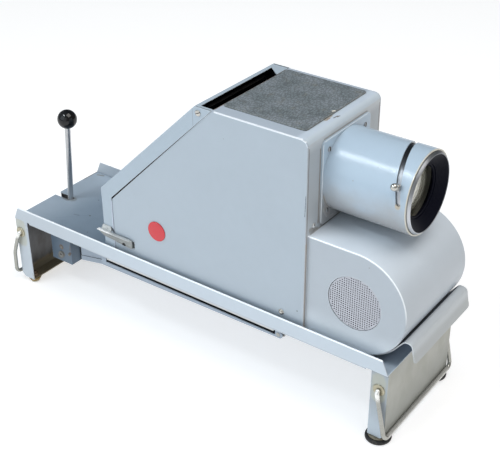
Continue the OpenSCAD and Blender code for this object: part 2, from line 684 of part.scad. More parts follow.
tray();
end_lip();
front_leg();
rear_leg();
leg_bushes();
front_feet();
front_foot_cups();
rear_feet();
rear_foot_pads();
foot_screws();
front_bail();
rear_bail();
lever_bracket_near();
lever_bracket_far();
body_screws();
lever_shaft();
lever_arm();
cam_rollers();
lever_rod();
lever_knob();
platen_carrier();
carrier_hinge_ears();
carrier_hinge_pins();
pressure_plate();
leaf_springs();
stage_glass();
stage_glass_frame();
housing_shell();
top_mat();
rear_hood();
hood_pivot_screws();
hood_catch();
hood_latch();
latch_pin();
front_mirror();
mirror_frame();
lamp_glass();
lamp_base();
lamp_socket();
lamp_reflector();
heat_glass();
light_baffle();
lens_tube();
lens_tube_screws();
lens_barrel();
lens_hood_ring();
focus_pin();
lens_cell();
front_lens();
rear_lens();
badge();
blower_shell();
blower_grilles();
blower_motor();
motor_bracket();
fan_shaft();
impellers();
mains_inlet();
power_switch();
switch_rocker();
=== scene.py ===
import math

import bmesh
import bpy
from mathutils import Matrix, Vector
from mathutils.geometry import delaunay_2d_cdt


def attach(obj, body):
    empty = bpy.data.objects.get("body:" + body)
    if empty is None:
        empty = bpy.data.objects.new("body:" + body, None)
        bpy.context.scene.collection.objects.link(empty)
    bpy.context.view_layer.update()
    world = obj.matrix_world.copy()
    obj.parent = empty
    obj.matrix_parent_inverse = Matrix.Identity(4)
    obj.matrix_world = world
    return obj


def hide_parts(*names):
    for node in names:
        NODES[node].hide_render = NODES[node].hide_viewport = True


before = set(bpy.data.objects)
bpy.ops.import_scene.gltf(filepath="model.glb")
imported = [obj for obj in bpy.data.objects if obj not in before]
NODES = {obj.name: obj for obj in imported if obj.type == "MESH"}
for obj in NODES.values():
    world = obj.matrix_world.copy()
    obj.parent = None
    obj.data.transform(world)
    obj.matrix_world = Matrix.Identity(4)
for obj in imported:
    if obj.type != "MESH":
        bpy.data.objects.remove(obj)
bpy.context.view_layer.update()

# Lengths below are millimetres in the drawing's own coordinates: X from the tray's middle, Z from the deck's underside.
FX, FZ = 10.71, 116.0
AXIS_Z = 214.7  # height of the lens axis
BX, BZ, BR, BY = 271.55, 79.1, 72.9, 80.9  # the blower casing's axis, radius and half width


def to_row(p):
    return Vector(((p[0] - FX) / 1000, p[1] / 1000, (p[2] + FZ) / 1000))


def c(r, g, b):
    """A colour given as screen values from 0 to 255, made linear."""
    return tuple((x / 255 / 12.92) if x / 255 <= 0.04045 else ((x / 255 + 0.055) / 1.055) ** 2.4 for x in (r, g, b))


# ---------------------------------------------------------------- node expressions


class E:
    """A shader socket that can be used in a sum."""

    def __init__(self, nt, sock):
        self.nt, self.k = nt, sock

    def op(self, name, *others, clamp=False):
        n = self.nt.nodes.new("ShaderNodeMath")
        n.operation = name
        n.use_clamp = clamp
        for i, v in enumerate((self, *others)):
            if isinstance(v, E):
                self.nt.links.new(v.k, n.inputs[i])
            else:
                n.inputs[i].default_value = v
        return E(self.nt, n.outputs[0])

    def __add__(self, o): return self.op("ADD", o)
    __radd__ = __add__
    def __sub__(self, o): return self.op("SUBTRACT", o)
    def __rsub__(self, o): return (self * -1.0) + o
    def __mul__(self, o): return self.op("MULTIPLY", o)
    __rmul__ = __mul__
    def __truediv__(self, o): return self.op("DIVIDE", o)
    def abs(self): return self.op("ABSOLUTE")
    def max(self, o): return self.op("MAXIMUM", o)
    def min(self, o): return self.op("MINIMUM", o)
    def pow(self, o): return self.op("POWER", o)
    def sin(self): return self.op("SINE")
    def clamp(self): return self.op("ADD", 0.0, clamp=True)

    def step(self, lo, hi, a=0.0, b=1.0):
        """Smooth step from a at lo to b at hi."""
        n = self.nt.nodes.new("ShaderNodeMapRange")
        n.interpolation_type = "SMOOTHSTEP"
        n.clamp = True
        self.nt.links.new(self.k, n.inputs["Value"])
        flip = lo > hi
        n.inputs["From Min"].default_value = hi if flip else lo
        n.inputs["From Max"].default_value = lo if flip else hi
        n.inputs["To Min"].default_value = b if flip else a
        n.inputs["To Max"].default_value = a if flip else b
        return E(self.nt, n.outputs["Result"])


class Mat:
    """A node material in the making. p is the place on the piece in drawing millimetres."""

    def __init__(self, name):
        self.m = bpy.data.materials.new(name)
        self.m.use_nodes = True
        self.nt = nt = self.m.node_tree
        nt.nodes.clear()
        self.out = nt.nodes.new("ShaderNodeOutputMaterial")
        self.b = nt.nodes.new("ShaderNodeBsdfPrincipled")
        nt.links.new(self.b.outputs[0], self.out.inputs[0])
        tc = nt.nodes.new("ShaderNodeTexCoord")
        ma = nt.nodes.new("ShaderNodeVectorMath")
        ma.operation = "MULTIPLY_ADD"
        ma.inputs[1].default_value = (1000, 1000, 1000)
        ma.inputs[2].default_value = (FX, 0, -FZ)
        nt.links.new(tc.outputs["Object"], ma.inputs[0])
        self.p = ma.outputs[0]
        self._xyz = None
        self.normal = None

    @property
    def xyz(self):
        if self._xyz is None:
            n = self.nt.nodes.new("ShaderNodeSeparateXYZ")
            self.nt.links.new(self.p, n.inputs[0])
            self._xyz = tuple(E(self.nt, n.outputs[i]) for i in range(3))
        return self._xyz

    def scaled(self, s):
        n = self.nt.nodes.new("ShaderNodeVectorMath")
        n.operation = "MULTIPLY"
        n.inputs[1].default_value = s if isinstance(s, tuple) else (s, s, s)
        self.nt.links.new(self.p, n.inputs[0])
        return n.outputs[0]

    def noise(self, size, detail=2.0, rough=0.5, distortion=0.0, stretch=(1, 1, 1), offset=0.0):
        """Noise from 0 to 1 with features about size mm across."""
        n = self.nt.nodes.new("ShaderNodeTexNoise")
        n.noise_dimensions = "4D"
        n.inputs["W"].default_value = offset
        n.inputs["Scale"].default_value = 1.0
        n.inputs["Detail"].default_value = detail
        n.inputs["Roughness"].default_value = rough
        n.inputs["Distortion"].default_value = distortion
        self.nt.links.new(self.scaled(tuple(1 / (size * k) for k in stretch)), n.inputs["Vector"])
        return E(self.nt, n.outputs[0])

    def voronoi(self, size, feature="F1", stretch=(1, 1, 1), randomness=1.0, out=0, warp=None):
        n = self.nt.nodes.new("ShaderNodeTexVoronoi")
        n.feature = feature
        n.inputs["Scale"].default_value = 1.0
        n.inputs["Randomness"].default_value = randomness
        v = self.scaled(tuple(1 / (size * k) for k in stretch))
        if warp:
            nz = self.nt.nodes.new("ShaderNodeTexNoise")
            nz.inputs["Scale"].default_value = warp[0]
            self.nt.links.new(v, nz.inputs["Vector"])
            a = self.nt.nodes.new("ShaderNodeVectorMath")
            a.operation = "MULTIPLY_ADD"
            a.inputs[1].default_value = (warp[1],) * 3
            self.nt.links.new(nz.outputs["Color"], a.inputs[0])
            self.nt.links.new(v, a.inputs[2])
            v = a.outputs[0]
        self.nt.links.new(v, n.inputs["Vector"])
        return E(self.nt, n.outputs[out])

    def mix(self, fac, a, b):
        """Colour a where fac is 0, b where it is 1. a and b are colours or sockets."""
        n = self.nt.nodes.new("ShaderNodeMix")
        n.data_type = "RGBA"
        if isinstance(fac, E):
            self.nt.links.new(fac.k, n.inputs[0])
        else:
            n.inputs[0].default_value = fac
        for i, v in ((6, a), (7, b)):
            if isinstance(v, tuple):
                n.inputs[i].default_value = (*v, 1)
            else:
                self.nt.links.new(v, n.inputs[i])
        return n.outputs[2]

    def mul(self, col, fac):
        """Colour times a value."""
        n = self.nt.nodes.new("ShaderNodeVectorMath")
        n.operation = "SCALE"
        if isinstance(col, tuple):
            n.inputs[0].default_value = col
        else:
            self.nt.links.new(col, n.inputs[0])
        self.nt.links.new(fac.k, n.inputs["Scale"])
        return n.outputs[0]

    def edge(self, radius=1.2, lo=0.02, hi=0.22):
        """1 on convex and concave edges, 0 on flat places."""
        nt = self.nt
        bv = nt.nodes.new("ShaderNodeBevel")
        bv.samples = 4
        bv.inputs["Radius"].default_value = radius / 1000
        g = nt.nodes.new("ShaderNodeNewGeometry")
        d = nt.nodes.new("ShaderNodeVectorMath")
        d.operation = "DOT_PRODUCT"
        nt.links.new(bv.outputs[0], d.inputs[0])
        nt.links.new(g.outputs["Normal"], d.inputs[1])
        return (1.0 - E(nt, d.outputs["Value"])).step(lo, hi)

    def crevice(self, distance=6.0):
        n = self.nt.nodes.new("ShaderNodeAmbientOcclusion")
        n.samples = 6
        n.inputs["Distance"].default_value = distance / 1000
        return 1.0 - E(self.nt, n.outputs["AO"])

    def capsule(self, a, b, r, soft, amp=0.0, size=4.0, seed=0.0):
        """1 within r mm of the segment from a to b, with an edge that is soft mm wide and ragged by amp mm."""
        nt = self.nt
        a, b = Vector(a), Vector(b)
        ab = b - a
        sub = nt.nodes.new("ShaderNodeVectorMath")
        sub.operation = "SUBTRACT"
        sub.inputs[1].default_value = a
        nt.links.new(self.p, sub.inputs[0])
        src = sub.outputs[0]
        if ab.length > 1e-6:
            dot = nt.nodes.new("ShaderNodeVectorMath")
            dot.operation = "DOT_PRODUCT"
            dot.inputs[1].default_value = ab / ab.length_squared
            nt.links.new(src, dot.inputs[0])
            t = E(nt, dot.outputs["Value"]).clamp()
            sc = nt.nodes.new("ShaderNodeVectorMath")
            sc.operation = "SCALE"
            sc.inputs[0].default_value = ab
            nt.links.new(t.k, sc.inputs["Scale"])
            s2 = nt.nodes.new("ShaderNodeVectorMath")
            s2.operation = "SUBTRACT"
            nt.links.new(src, s2.inputs[0])
            nt.links.new(sc.outputs[0], s2.inputs[1])
            src = s2.outputs[0]
        ln = nt.nodes.new("ShaderNodeVectorMath")
        ln.operation = "LENGTH"
        nt.links.new(src, ln.inputs[0])
        d = E(nt, ln.outputs["Value"])
        if amp:
            d = d + (self.noise(size, 3, 0.6, offset=seed) - 0.5) * (2 * amp)
        return d.step(r + soft, r)

    def bump(self, height, distance, strength=1.0):
        """distance is the height in mm of a full step of the value."""
        n = self.nt.nodes.new("ShaderNodeBump")
        n.inputs["Strength"].default_value = strength
        n.inputs["Distance"].default_value = distance / 1000
        self.nt.links.new(height.k, n.inputs["Height"])
        if self.normal is not None:
            self.nt.links.new(self.normal, n.inputs["Normal"])
        self.normal = n.outputs[0]

    def done(self, color, rough, metal=0.0, **consts):
        nt, b = self.nt, self.b
        for name, v in (("Base Color", color), ("Roughness", rough), ("Metallic", metal)):
            if isinstance(v, E):
                nt.links.new(v.k, b.inputs[name])
            elif isinstance(v, tuple):
                b.inputs[name].default_value = (*v, 1)
            elif isinstance(v, (int, float)):
                b.inputs[name].default_value = v
            else:
                nt.links.new(v, b.inputs[name])
        if self.normal is not None:
            nt.links.new(self.normal, b.inputs["Normal"])
        for k, v in consts.items():
            b.inputs[k.replace("_", " ")].default_value = v
        return self.m


# ---------------------------------------------------------------- materials

PAINT = c(186, 195, 203)
RUST = c(122, 82, 48)
# brownish dirt colour, laid by occlusion in the corners: dirt and painted shade
GRIME_AND_SHADE = c(92, 84, 72)


def paint(name, base=PAINT, rough=0.36, marks=(), wear_and_highlight=0.5, grime_and_shade=0.55, edge_col=c(226, 231, 234), chips=0.5, mottle=0.05, extra=None, spec=0.5, peel=0.012):
    """Stoved semi-gloss paint with worn edges lightened all along, so that they also act as painted highlights, dirt
    laid by occlusion in the corners, which is painted shade as well as dirt, faint mottling and a few specks.
    marks are (from, to, radius, softness, raggedness, colour, strength) in drawing millimetres."""
    m = Mat(name)
    big = m.noise(70, 3, 0.55)
    mid = m.noise(14, 3, 0.6, offset=3.0)
    col = m.mul(base, (big - 0.5) * (mottle * 1.6) + (mid - 0.5) * mottle + 1.0)
    col = m.mix((m.noise(38, 2, offset=7.0) - 0.35).clamp() * 0.16, col, tuple(x * k for x, k in zip(base, (1.02, 0.97, 0.99))))
    # handling marks: faint streaks and sparse specks
    streak = m.noise(9, 4, 0.65, stretch=(1, 1, 5), offset=1.3).step(0.62, 0.8) * 0.10
    col = m.mix(streak, col, tuple(x * 0.8 for x in base))
    vor = m.voronoi(17)
    pick = m.noise(17, 0, offset=5.0).step(0.60, 0.66)
    speck = vor.step(0.045, 0.02) * pick
    col = m.mix(speck * 0.55, col, c(98, 98, 96))
    # worn edges, lightened all along: wear and painted highlight
    edge = m.edge()
    frayed = m.noise(5, 4, 0.7, offset=2.0)
    rub_and_highlight = edge * (frayed * 0.7 + 0.3).clamp() * wear_and_highlight
    col = m.mix(rub_and_highlight.clamp(), col, edge_col)
    chip = edge * m.noise(8, 3, 0.6, offset=9.0).step(0.70 - 0.06 * chips, 0.76 - 0.06 * chips) * m.noise(60, 1, offset=4.0).step(0.46, 0.6)
    col = m.mix((chip * chips).clamp(), col, m.mix(m.noise(2.5, 1), c(88, 84, 80), RUST))
    # dirt laid where occlusion is strongest: dirt and painted shade in every crevice
    if grime_and_shade:
        dirt = m.crevice(7).pow(1.6) * (m.noise(18, 3, 0.6, offset=6.0) + 0.35) * grime_and_shade
        col = m.mix(dirt.clamp(), col, GRIME_AND_SHADE)
    rgh = (m.noise(26, 3, 0.6, offset=8.0) - 0.5) * 0.14 + rough
    # the marks, stains and painted highlights alike, are made rougher
    worn = None
    for i, (a, b, r, soft, amp, mc, k) in enumerate(marks):
        f = m.capsule(a, b, r, soft, amp, max(1.5, r * 1.2), 11.0 + i) * k
        col = m.mix(f, col, mc)
        worn = f if worn is None else worn.max(f)
    if extra:
        col = extra(m, col)
    if worn is not None:
        rgh = rgh + worn * 0.25
    m.bump(m.noise(1.6, 2, 0.5) + (m.noise(40, 1, offset=2.5) * 6.0), peel)
    return m.done(col, rgh, 0.0, Specular_IOR_Level=spec)


def metal(name, col, rough=0.22, brushed=0.0, tarnish=0.25, tint=c(120, 104, 80), metallic=1.0, stretch=(1, 1, 1)):
    m = Mat(name)
    n = m.noise(11, 4, 0.6)
    cc = m.mul(col, (n - 0.5) * 0.22 + 1.0)
    t = (m.noise(6, 4, 0.7, offset=4.0).step(0.52, 0.72) * tarnish + m.crevice(4).pow(1.5) * tarnish * 1.2).clamp()
    cc = m.mix(t, cc, tint)
    r = (m.noise(4, 3, offset=1.0) - 0.5) * 0.16 + rough + t * 0.3
    if brushed:
        line = m.noise(0.5, 2, stretch=stretch)
        r = r + (line - 0.5) * brushed
        m.bump(line, 0.004)
    m.bump(m.noise(2.2, 3, 0.6, offset=3.0), 0.010)
    return m.done(cc, r, metallic)


def rubber(name, base, rough=0.7, dust=0.3, dust_col=c(120, 112, 98), bump=0.05):
    m = Mat(name)
    cc = m.mul(base, (m.noise(6, 4, 0.6) - 0.5) * 0.5 + 1.0)
    d = (m.noise(3.5, 4, 0.7, offset=2.0).step(0.48, 0.75) + m.edge(0.8) * 0.5) * dust
    cc = m.mix(d.clamp(), cc, dust_col)
    m.bump(m.noise(0.9, 3, 0.6), bump)
    return m.done(cc, (m.noise(5, 3) - 0.5) * 0.2 + rough)


def enamel(name, base, rough=0.45, dust=0.12, coat=0.0, fine=0.02):
    m = Mat(name)
    cc = m.mul(base, (m.noise(9, 3, 0.6) - 0.5) * 0.35 + 1.0)
    cc = m.mix((m.edge(0.7) * 0.35 + m.noise(3, 4, 0.7, offset=2.0).step(0.6, 0.8) * dust).clamp(), cc, c(112, 110, 104))
    m.bump(m.noise(0.7, 2), fine)
    return m.done(cc, (m.noise(12, 3) - 0.5) * 0.15 + rough, 0.0, Coat_Weight=coat)


def glass(name, tint, rough=0.02, ior=1.52, smear=0.05, clear=1.0):
    m = Mat(name)
    r = m.noise(14, 4, 0.65).step(0.45, 0.8) * smear + rough
    cc = m.mul(tint, (m.noise(30, 2) - 0.5) * 0.04 + 1.0)
    return m.done(cc, r, 0.0, Transmission_Weight=clear, IOR=ior)


M = {}
M["paint"] = paint("paint_plain")


def wire_material():
    """Plated wire, bright metal on the arms; paler and less metallic along the crossbars, which lightens them as
    painted light, with a near-white painted highlight at the top elbows.
    """
    m = Mat("chrome_wire")
    x, y, z = m.xyz
    n = m.noise(11, 4, 0.6)
    # crossbars: paler, less metallic, a painted lightening
    bar = y.abs().step(90, 84) * z.step(-38, -46)
    cc = m.mix(bar, c(166, 166, 160), c(206, 206, 202))
    cc = m.mul(cc, (n - 0.5) * 0.2 + 1.0)
    t = (m.noise(6, 4, 0.7, offset=4.0).step(0.54, 0.74) * 0.22 + m.crevice(4).pow(1.5) * 0.3).clamp()
    # painted highlight where the wire bends at the top
    top = (z.step(-44, -34) * x.step(-10, 10) + z.step(-34, -27) * x.step(10, -10)) * y.abs().step(90.6, 91.4)
    t = t * (top * -0.8 + 1.0)
    cc = m.mix(t, cc, c(118, 108, 90))
    cc = m.mix(top, cc, c(246, 246, 242))
    m.bump(m.noise(3.0, 3, 0.6, offset=3.0), 0.008)
    return m.done(cc, (m.noise(4, 3, offset=1.0) - 0.5) * 0.12 + 0.22 + t * 0.3, bar * -0.6 + 0.96 - top * 0.5)


M["chrome"] = wire_material()
M["bright"] = metal("screw_bright", c(238, 238, 234), 0.26, tarnish=0.1, tint=c(120, 108, 90), metallic=0.8)
M["rusty"] = metal("screw_rusty", c(112, 94, 74), 0.5, tarnish=0.6, tint=c(78, 58, 40), metallic=0.4)
M["screw"] = metal("screw_steel", c(196, 194, 188), 0.24, tarnish=0.4, tint=c(96, 78, 60))
M["steel"] = metal("steel_satin", c(168, 168, 164), 0.34, brushed=0.12, tarnish=0.35, tint=c(110, 92, 72), stretch=(1, 20, 1))


def latch_material():
    """Worn nickel: dull grey faces with fine long scratches; the upper ledge painted lighter, as lit from above, with a
    painted highlight towards its left end; darker towards the bottom and at the right end; a black spot painted in the
    notch, a painted shade in place of a hole.
    """
    m = Mat("nickel_worn")
    x, y, z = m.xyz
    line = m.noise(1.1, 3, 0.6, stretch=(26, 1, 1))
    cc = m.mix(line.step(0.3, 0.7), c(124, 126, 124), c(164, 168, 168))
    cc = m.mix(m.noise(7, 4, 0.7, offset=4.0).step(0.5, 0.75) * 0.4, cc, c(104, 104, 98))
    cc = m.mix(m.edge(0.8) * 0.4, cc, c(206, 210, 210))
    # upper ledge: painted light, and a painted highlight at its left end
    ledge = z.step(41.0, 41.7)
    cc = m.mix(ledge * 0.75, cc, c(196, 200, 200))
    cc = m.mix(ledge * (x + (m.noise(9, 2) - 0.5) * 6).step(-124, -136), cc, c(255, 255, 255))
    low = z.step(37.5, 31.0) * 0.35
    cc = m.mix(low, cc, c(110, 112, 110))
    end = x.step(-90.4, -89.4)
    cc = m.mix(end * 0.8, cc, c(92, 94, 94))
    # black spot in the notch: painted shade in place of a hole
    cc = m.mix(m.capsule((-105.8, -88.2, 30.8), (-105.2, -88.2, 31.3), 2.9, 0.4), cc, c(8, 8, 10))
    m.bump(line, 0.006)
    return m.done(cc, (line - 0.5) * 0.2 + 0.36, ledge * -0.3 + 0.35)


def catch_material():
    """Pale worn nickel with a dim pin mark; its end is painted dark, a painted shade."""
    m = Mat("nickel_pale")
    x, y, z = m.xyz
    cc = m.mix(m.noise(2.2, 4, 0.7, stretch=(3, 1, 1)).step(0.3, 0.7), c(168, 173, 174), c(206, 210, 210))
    cc = m.mix(m.capsule((-138.0, -88.3, 48.6), (-136.6, -88.3, 47.6), 0.5, 0.6, 0.3, 2.0) * 0.7, cc, c(92, 96, 98))
    cc = m.mix(m.edge(0.7) * 0.5, cc, c(226, 230, 230))
    # painted shade on the catch's end
    cc = m.mix(x.step(-129.4, -128.4) * 0.85, cc, c(56, 60, 64))
    m.bump(m.noise(2, 3, 0.6), 0.02)
    return m.done(cc, 0.4, 0.2)


M["latch"] = latch_material()
M["catch"] = catch_material()
M["rod"] = metal("rod_plated", c(186, 188, 190), 0.30, brushed=0.06, tarnish=0.16, tint=c(128, 126, 118), stretch=(1, 1, 20))
M["bush"] = metal("bush_nickel", c(178, 172, 150), 0.34, tarnish=0.5, tint=c(120, 106, 74), metallic=0.8)
M["brass"] = metal("brass_plain", c(196, 168, 104), 0.30, tarnish=0.35, tint=c(96, 76, 44))
M["aluminium"] = metal("aluminium_satin", c(196, 198, 200), 0.36, brushed=0.12, tarnish=0.12, tint=c(140, 138, 130), stretch=(20, 1, 1))
M["cup"] = metal("cup_tarnished", c(126, 120, 104), 0.50, tarnish=0.6, tint=c(62, 56, 46), metallic=0.5)
M["black"] = enamel("black_matt", c(22, 22, 24), 0.55)


def ring_material():
    """Dead black with a cold sheen."""
    m = Mat("black_ring")
    cc = m.mul(c(9, 11, 24), (m.noise(9, 3, 0.6) - 0.5) * 0.4 + 1.0)
    cc = m.mix(m.noise(3, 4, 0.7, offset=2.0).step(0.62, 0.8) * 0.05, cc, c(80, 80, 80))
    m.bump(m.noise(0.7, 2), 0.01)
    return m.done(cc, (m.noise(12, 3) - 0.5) * 0.15 + 0.5, 0.0, IOR=1.16)


def barrel_material():
    """Bright turned metal, painted nearly black over its upper side inside the tube and darker grey over its upper
    half, as painted dark reflection.
    """
    m = Mat("barrel_chrome")
    x, y, z = m.xyz
    n = m.noise(11, 4, 0.6)
    cc = m.mul(c(192, 195, 200), (n - 0.5) * 0.12 + 1.0)
    # painted dark reflection over the upper side, where it lies inside the tube
    up = (z - AXIS_Z + (m.noise(8, 3) - 0.5) * 3).step(30, 50)
    hidden = x.step(317.6, 316.4)
    cc = m.mix((up * hidden).clamp() * 0.985, cc, c(14, 14, 18))
    # upper half painted darker grey, a painted dark reflection
    top = (z - AXIS_Z).step(-5, 42)
    cc = m.mix(top * 0.55, cc, c(84, 87, 92))
    line = m.noise(0.6, 2, stretch=(1, 30, 30))
    m.bump(line, 0.003)
    return m.done(cc, (line - 0.5) * 0.05 + 0.38, 1.0)


M["ring"] = ring_material()
# darker bluish paint for the end lip's underside: painted shade
M["under"] = enamel("lip_underside", c(92, 104, 120), 0.6, dust=0.1)
M["cell"] = enamel("cell_bore", c(104, 103, 92), 0.42, dust=0.2)
M["inside"] = enamel("black_inside", c(13, 13, 14), 0.75, dust=0.05)
M["moulding"] = enamel("black_moulding", c(26, 26, 27), 0.40, dust=0.08)
M["motor"] = enamel("motor_hammered", c(86, 94, 90), 0.38, dust=0.15, fine=0.12)
M["ceramic"] = enamel("ceramic_glaze", c(224, 220, 206), 0.22, dust=0.25, coat=0.3)
M["rubber"] = rubber("rubber_black", c(27, 27, 28), 0.62, 0.35)
M["amber"] = rubber("rubber_amber", c(140, 116, 66), 0.55, 0.45, c(88, 66, 34), 0.06)
M["pad"] = rubber("pad_pale", c(214, 212, 200), 0.7, 0.35, c(160, 150, 128), 0.08)
M["lens"] = glass("lens_glass", (0.86, 0.85, 0.72), 0.0, 1.85, 0.02, clear=0.88)
M["glass"] = glass("plate_glass", (0.94, 0.98, 0.96), 0.0, 1.5, 0.06)
M["heat"] = glass("heat_glass", (0.80, 0.93, 0.88), 0.0, 1.5, 0.03)


def knob_material():
    m = Mat("knob_gloss")
    cc = m.mul(c(9, 9, 11), (m.noise(7, 3, 0.6) - 0.5) * 0.4 + 1.0)
    m.bump(m.noise(5, 2), 0.02)
    r = m.noise(4, 4, 0.7).step(0.5, 0.8) * 0.10 + 0.06
    return m.done(cc, r, 0.0, Specular_IOR_Level=0.45)


def badge_material():
    m = Mat("badge_enamel")
    cc = m.mul(c(205, 30, 45), (m.noise(6, 3, 0.6) - 0.5) * 0.12 + 1.0)
    cc = m.mix(m.edge(0.5) * 0.3, cc, c(150, 20, 30))
    r = m.noise(3, 4, 0.7).step(0.5, 0.8) * 0.15 + 0.16
    m.bump(m.noise(3, 2), 0.015)
    return m.done(cc, r, 0.0, Coat_Weight=0.4, Coat_Roughness=0.08)


def mirror_material():
    m = Mat("mirror_silver")
    cc = m.mul((0.86, 0.88, 0.89), (m.noise(20, 3) - 0.5) * 0.05 + 1.0)
    haze = (m.edge(3.0) * 0.3 + m.noise(9, 4, 0.7).step(0.6, 0.85) * 0.12).clamp()
    return m.done(cc, haze * 0.4 + 0.02, 1.0)


def mat_material():
    """Coarse embossed mat on the top: short wavy ridges, with brown and green patches and pale rubbed spots."""
    m = Mat("top_mat_fibre")
    x, y, z = m.xyz
    ridge = m.voronoi(3.4, "DISTANCE_TO_EDGE", (1.0, 1.9, 1.0), warp=(1.1, 0.9))
    lines = ridge.step(0.02, 0.22)
    grain = m.noise(1.3, 4, 0.75, stretch=(1, 2.2, 1))
    patch = m.noise(26, 3, 0.6, offset=2.0)
    base = m.mix(patch.step(0.35, 0.65), c(104, 113, 117), c(124, 132, 138))
    base = m.mix(m.noise(12, 4, 0.65, offset=5.0).step(0.52, 0.75) * 0.45, base, c(112, 108, 92))
    base = m.mix(m.noise(9, 4, 0.6, offset=8.0).step(0.58, 0.8) * 0.30, base, c(96, 112, 104))
    cc = m.mul(base, lines * 0.46 + grain * 0.55 + 0.40)
    spots = m.voronoi(8.5).step(0.10, 0.03) * m.noise(9, 0, offset=4.0).step(0.56, 0.62)
    cc = m.mix(spots * 0.6, cc, c(176, 176, 170))
    # rubbed border, and a pale chip near the front edge
    ex = (x - 122.25).abs() * -1.0 + 62.25
    ey = (y - 5.5).abs() * -1.0 + 71.5
    rim = (ex.min(ey) + (m.noise(3, 3, 0.7) - 0.5) * 2.5).step(1.6, 0.2)
    cc = m.mix(rim * 0.35, cc, c(150, 150, 142))
    cc = m.mix(m.capsule((60.5, -60, 285), (60.5, 70, 285), 0.6, 1.0, 1.2, 5.0) * 0.6, cc, c(96, 66, 40))
    cc = m.mix(m.capsule((181.2, -1.5, 286), (182.6, 0.8, 286), 1.3, 0.4, 0.4, 2.0), cc, c(226, 222, 208))
    m.bump(lines * 0.7 + grain * 0.6, 0.35)
    return m.done(cc, grain * 0.2 + 0.52)


M["barrel"] = barrel_material()
M["knob"] = knob_material()
M["badge"] = badge_material()
M["mirror"] = mirror_material()
M["mat"] = mat_material()

BROWN = c(112, 92, 68)
# near-white for painted highlights along rounded edges
PAINTED_HIGHLIGHT = c(246, 251, 255)


def tinted(m, col, tint, fac):
    """Colour times a tint where fac is 1."""
    k = m.nt.nodes.new("ShaderNodeVectorMath")
    k.operation = "MULTIPLY"
    m.nt.links.new(col, k.inputs[0])
    k.inputs[1].default_value = tint
    return m.mix(fac, col, k.outputs[0])


def housing_detail(m, col):
    """The front wall is painted a warmer tone and, low down, lighter; the top is tinted slightly violet and the rounded
    top front edge lighter, all painted light.
    """
    x, y, z = m.xyz
    # front wall painted a warmer tone: painted light
    col = tinted(m, col, (0.985, 0.92, 0.865), x.step(199.9, 200.45))
    # lower front wall painted lighter: painted light
    col = tinted(m, col, (1.45, 1.45, 1.46), x.step(199.9, 200.45) * z.step(190, 120))
    # top tinted slightly violet: painted light tint
    top = z.step(283.2, 283.9)
    col = tinted(m, col, (0.99, 0.985, 1.01), top)
    # rounded top front edge painted lighter: painted highlight
    return tinted(m, col, (1.30, 1.29, 1.27), x.step(180, 187) * z.step(262, 276) * y.abs().step(84.8, 83.6))


# the housing's base is the plain paint darkened and cooled, holding painted shade
M["housing"] = paint("paint_housing", marks=(
    ((62, -84.9, 283.25), (191.2, -84.9, 283.25), 0.7, 0.8, 0.08, PAINTED_HIGHLIGHT, 0.85),        # painted highlights along the side panel's rounded edges
    ((191.2, -84.9, 283.25), (196.6, -84.9, 281.2), 0.7, 0.9, 0.06, PAINTED_HIGHLIGHT, 0.85),
    ((196.6, -84.9, 281.2), (199.6, -84.9, 275.5), 0.45, 0.8, 0.06, PAINTED_HIGHLIGHT, 0.8),
    ((199.7, -84.9, 275.5), (199.7, -84.9, 262), 0.2, 0.6, 0.2, PAINTED_HIGHLIGHT, 0.6),
    ((60, -84.9, 283.2), (47.5, -85.4, 272.5), 0.2, 0.5, 0.15, PAINTED_HIGHLIGHT, 0.5),
    ((199.4, -86, 210), (198.6, -86, 181), 0.28, 0.30, 0.25, c(30, 32, 40), 0.95),      # long scratch on the panel's front edge
    ((191, -86, 37.4), (191, -86, 37.4), 0.7, 0.5, 0.2, c(60, 60, 62), 0.9),
    ((186, -25, 284.2), (184, -10, 284.2), 1.6, 1.5, 1.8, c(140, 126, 104), 0.7),        # chips behind the mat's front edge
    ((190.5, -14, 284), (191.5, -6, 284), 0.7, 0.5, 0.8, c(84, 78, 72), 0.9),
    ((192.5, -9, 283.8), (193, -4, 283.6), 0.5, 0.4, 0.6, c(96, 90, 82), 0.9),
    ((186.5, -22, 284), (187.5, -18, 284), 0.6, 0.4, 0.5, RUST, 0.8),
    ((58.3, -80, 283.9), (58.3, 40, 283.9), 0.5, 0.7, 0.7, BROWN, 0.75),                 # rust along the vent
    ((58.6, 40, 283.9), (58.6, 62, 283.9), 0.7, 0.9, 0.9, RUST, 0.75),
    ((200.6, -82.7, 272), (200.6, -82.7, 6), 0.42, 0.4, 0.15, c(104, 92, 84), 0.85),     # seam between the side panel and the front
    ((200.6, 82.7, 272), (200.6, 82.7, 6), 0.42, 0.4, 0.15, c(104, 92, 84), 0.85),
    ((200.6, -83.5, 140), (200.6, -83.5, 8), 1.0, 1.6, 0.5, c(150, 140, 128), 0.5),
    ((-107.5, -85.7, 29.7), (-107.5, -85.7, 29.7), 2.8, 0.4, 0.1, c(12, 12, 14), 1.0),       # black spot painted behind the latch bar's notch, a painted shade in place of a hole
    ((-88, -85.7, 36), (-88, -85.7, 36), 0.8, 0.8, 0.3, c(110, 118, 128), 0.5),
    ((200.6, -57.5, 262), (200.6, -57.5, 160), 0.5, 1.6, 0.8, c(116, 102, 84), 0.6),     # grime around the flange
    ((200.6, -50, 154.5), (200.6, 50, 154.5), 0.5, 2.0, 0.8, c(116, 102, 84), 0.5),
    ((200.6, -50, 272.3), (200.6, 50, 272.3), 0.4, 1.2, 0.6, c(126, 116, 100), 0.5),
    ((200.6, -76, 158), (200.6, -60, 152.5), 1.5, 3.0, 1.5, c(120, 112, 98), 0.5),
), base=tuple(a * k for a, k in zip(PAINT, (0.85, 0.885, 0.91))), wear_and_highlight=0.9, chips=0.5, grime_and_shade=0.25, extra=housing_detail)
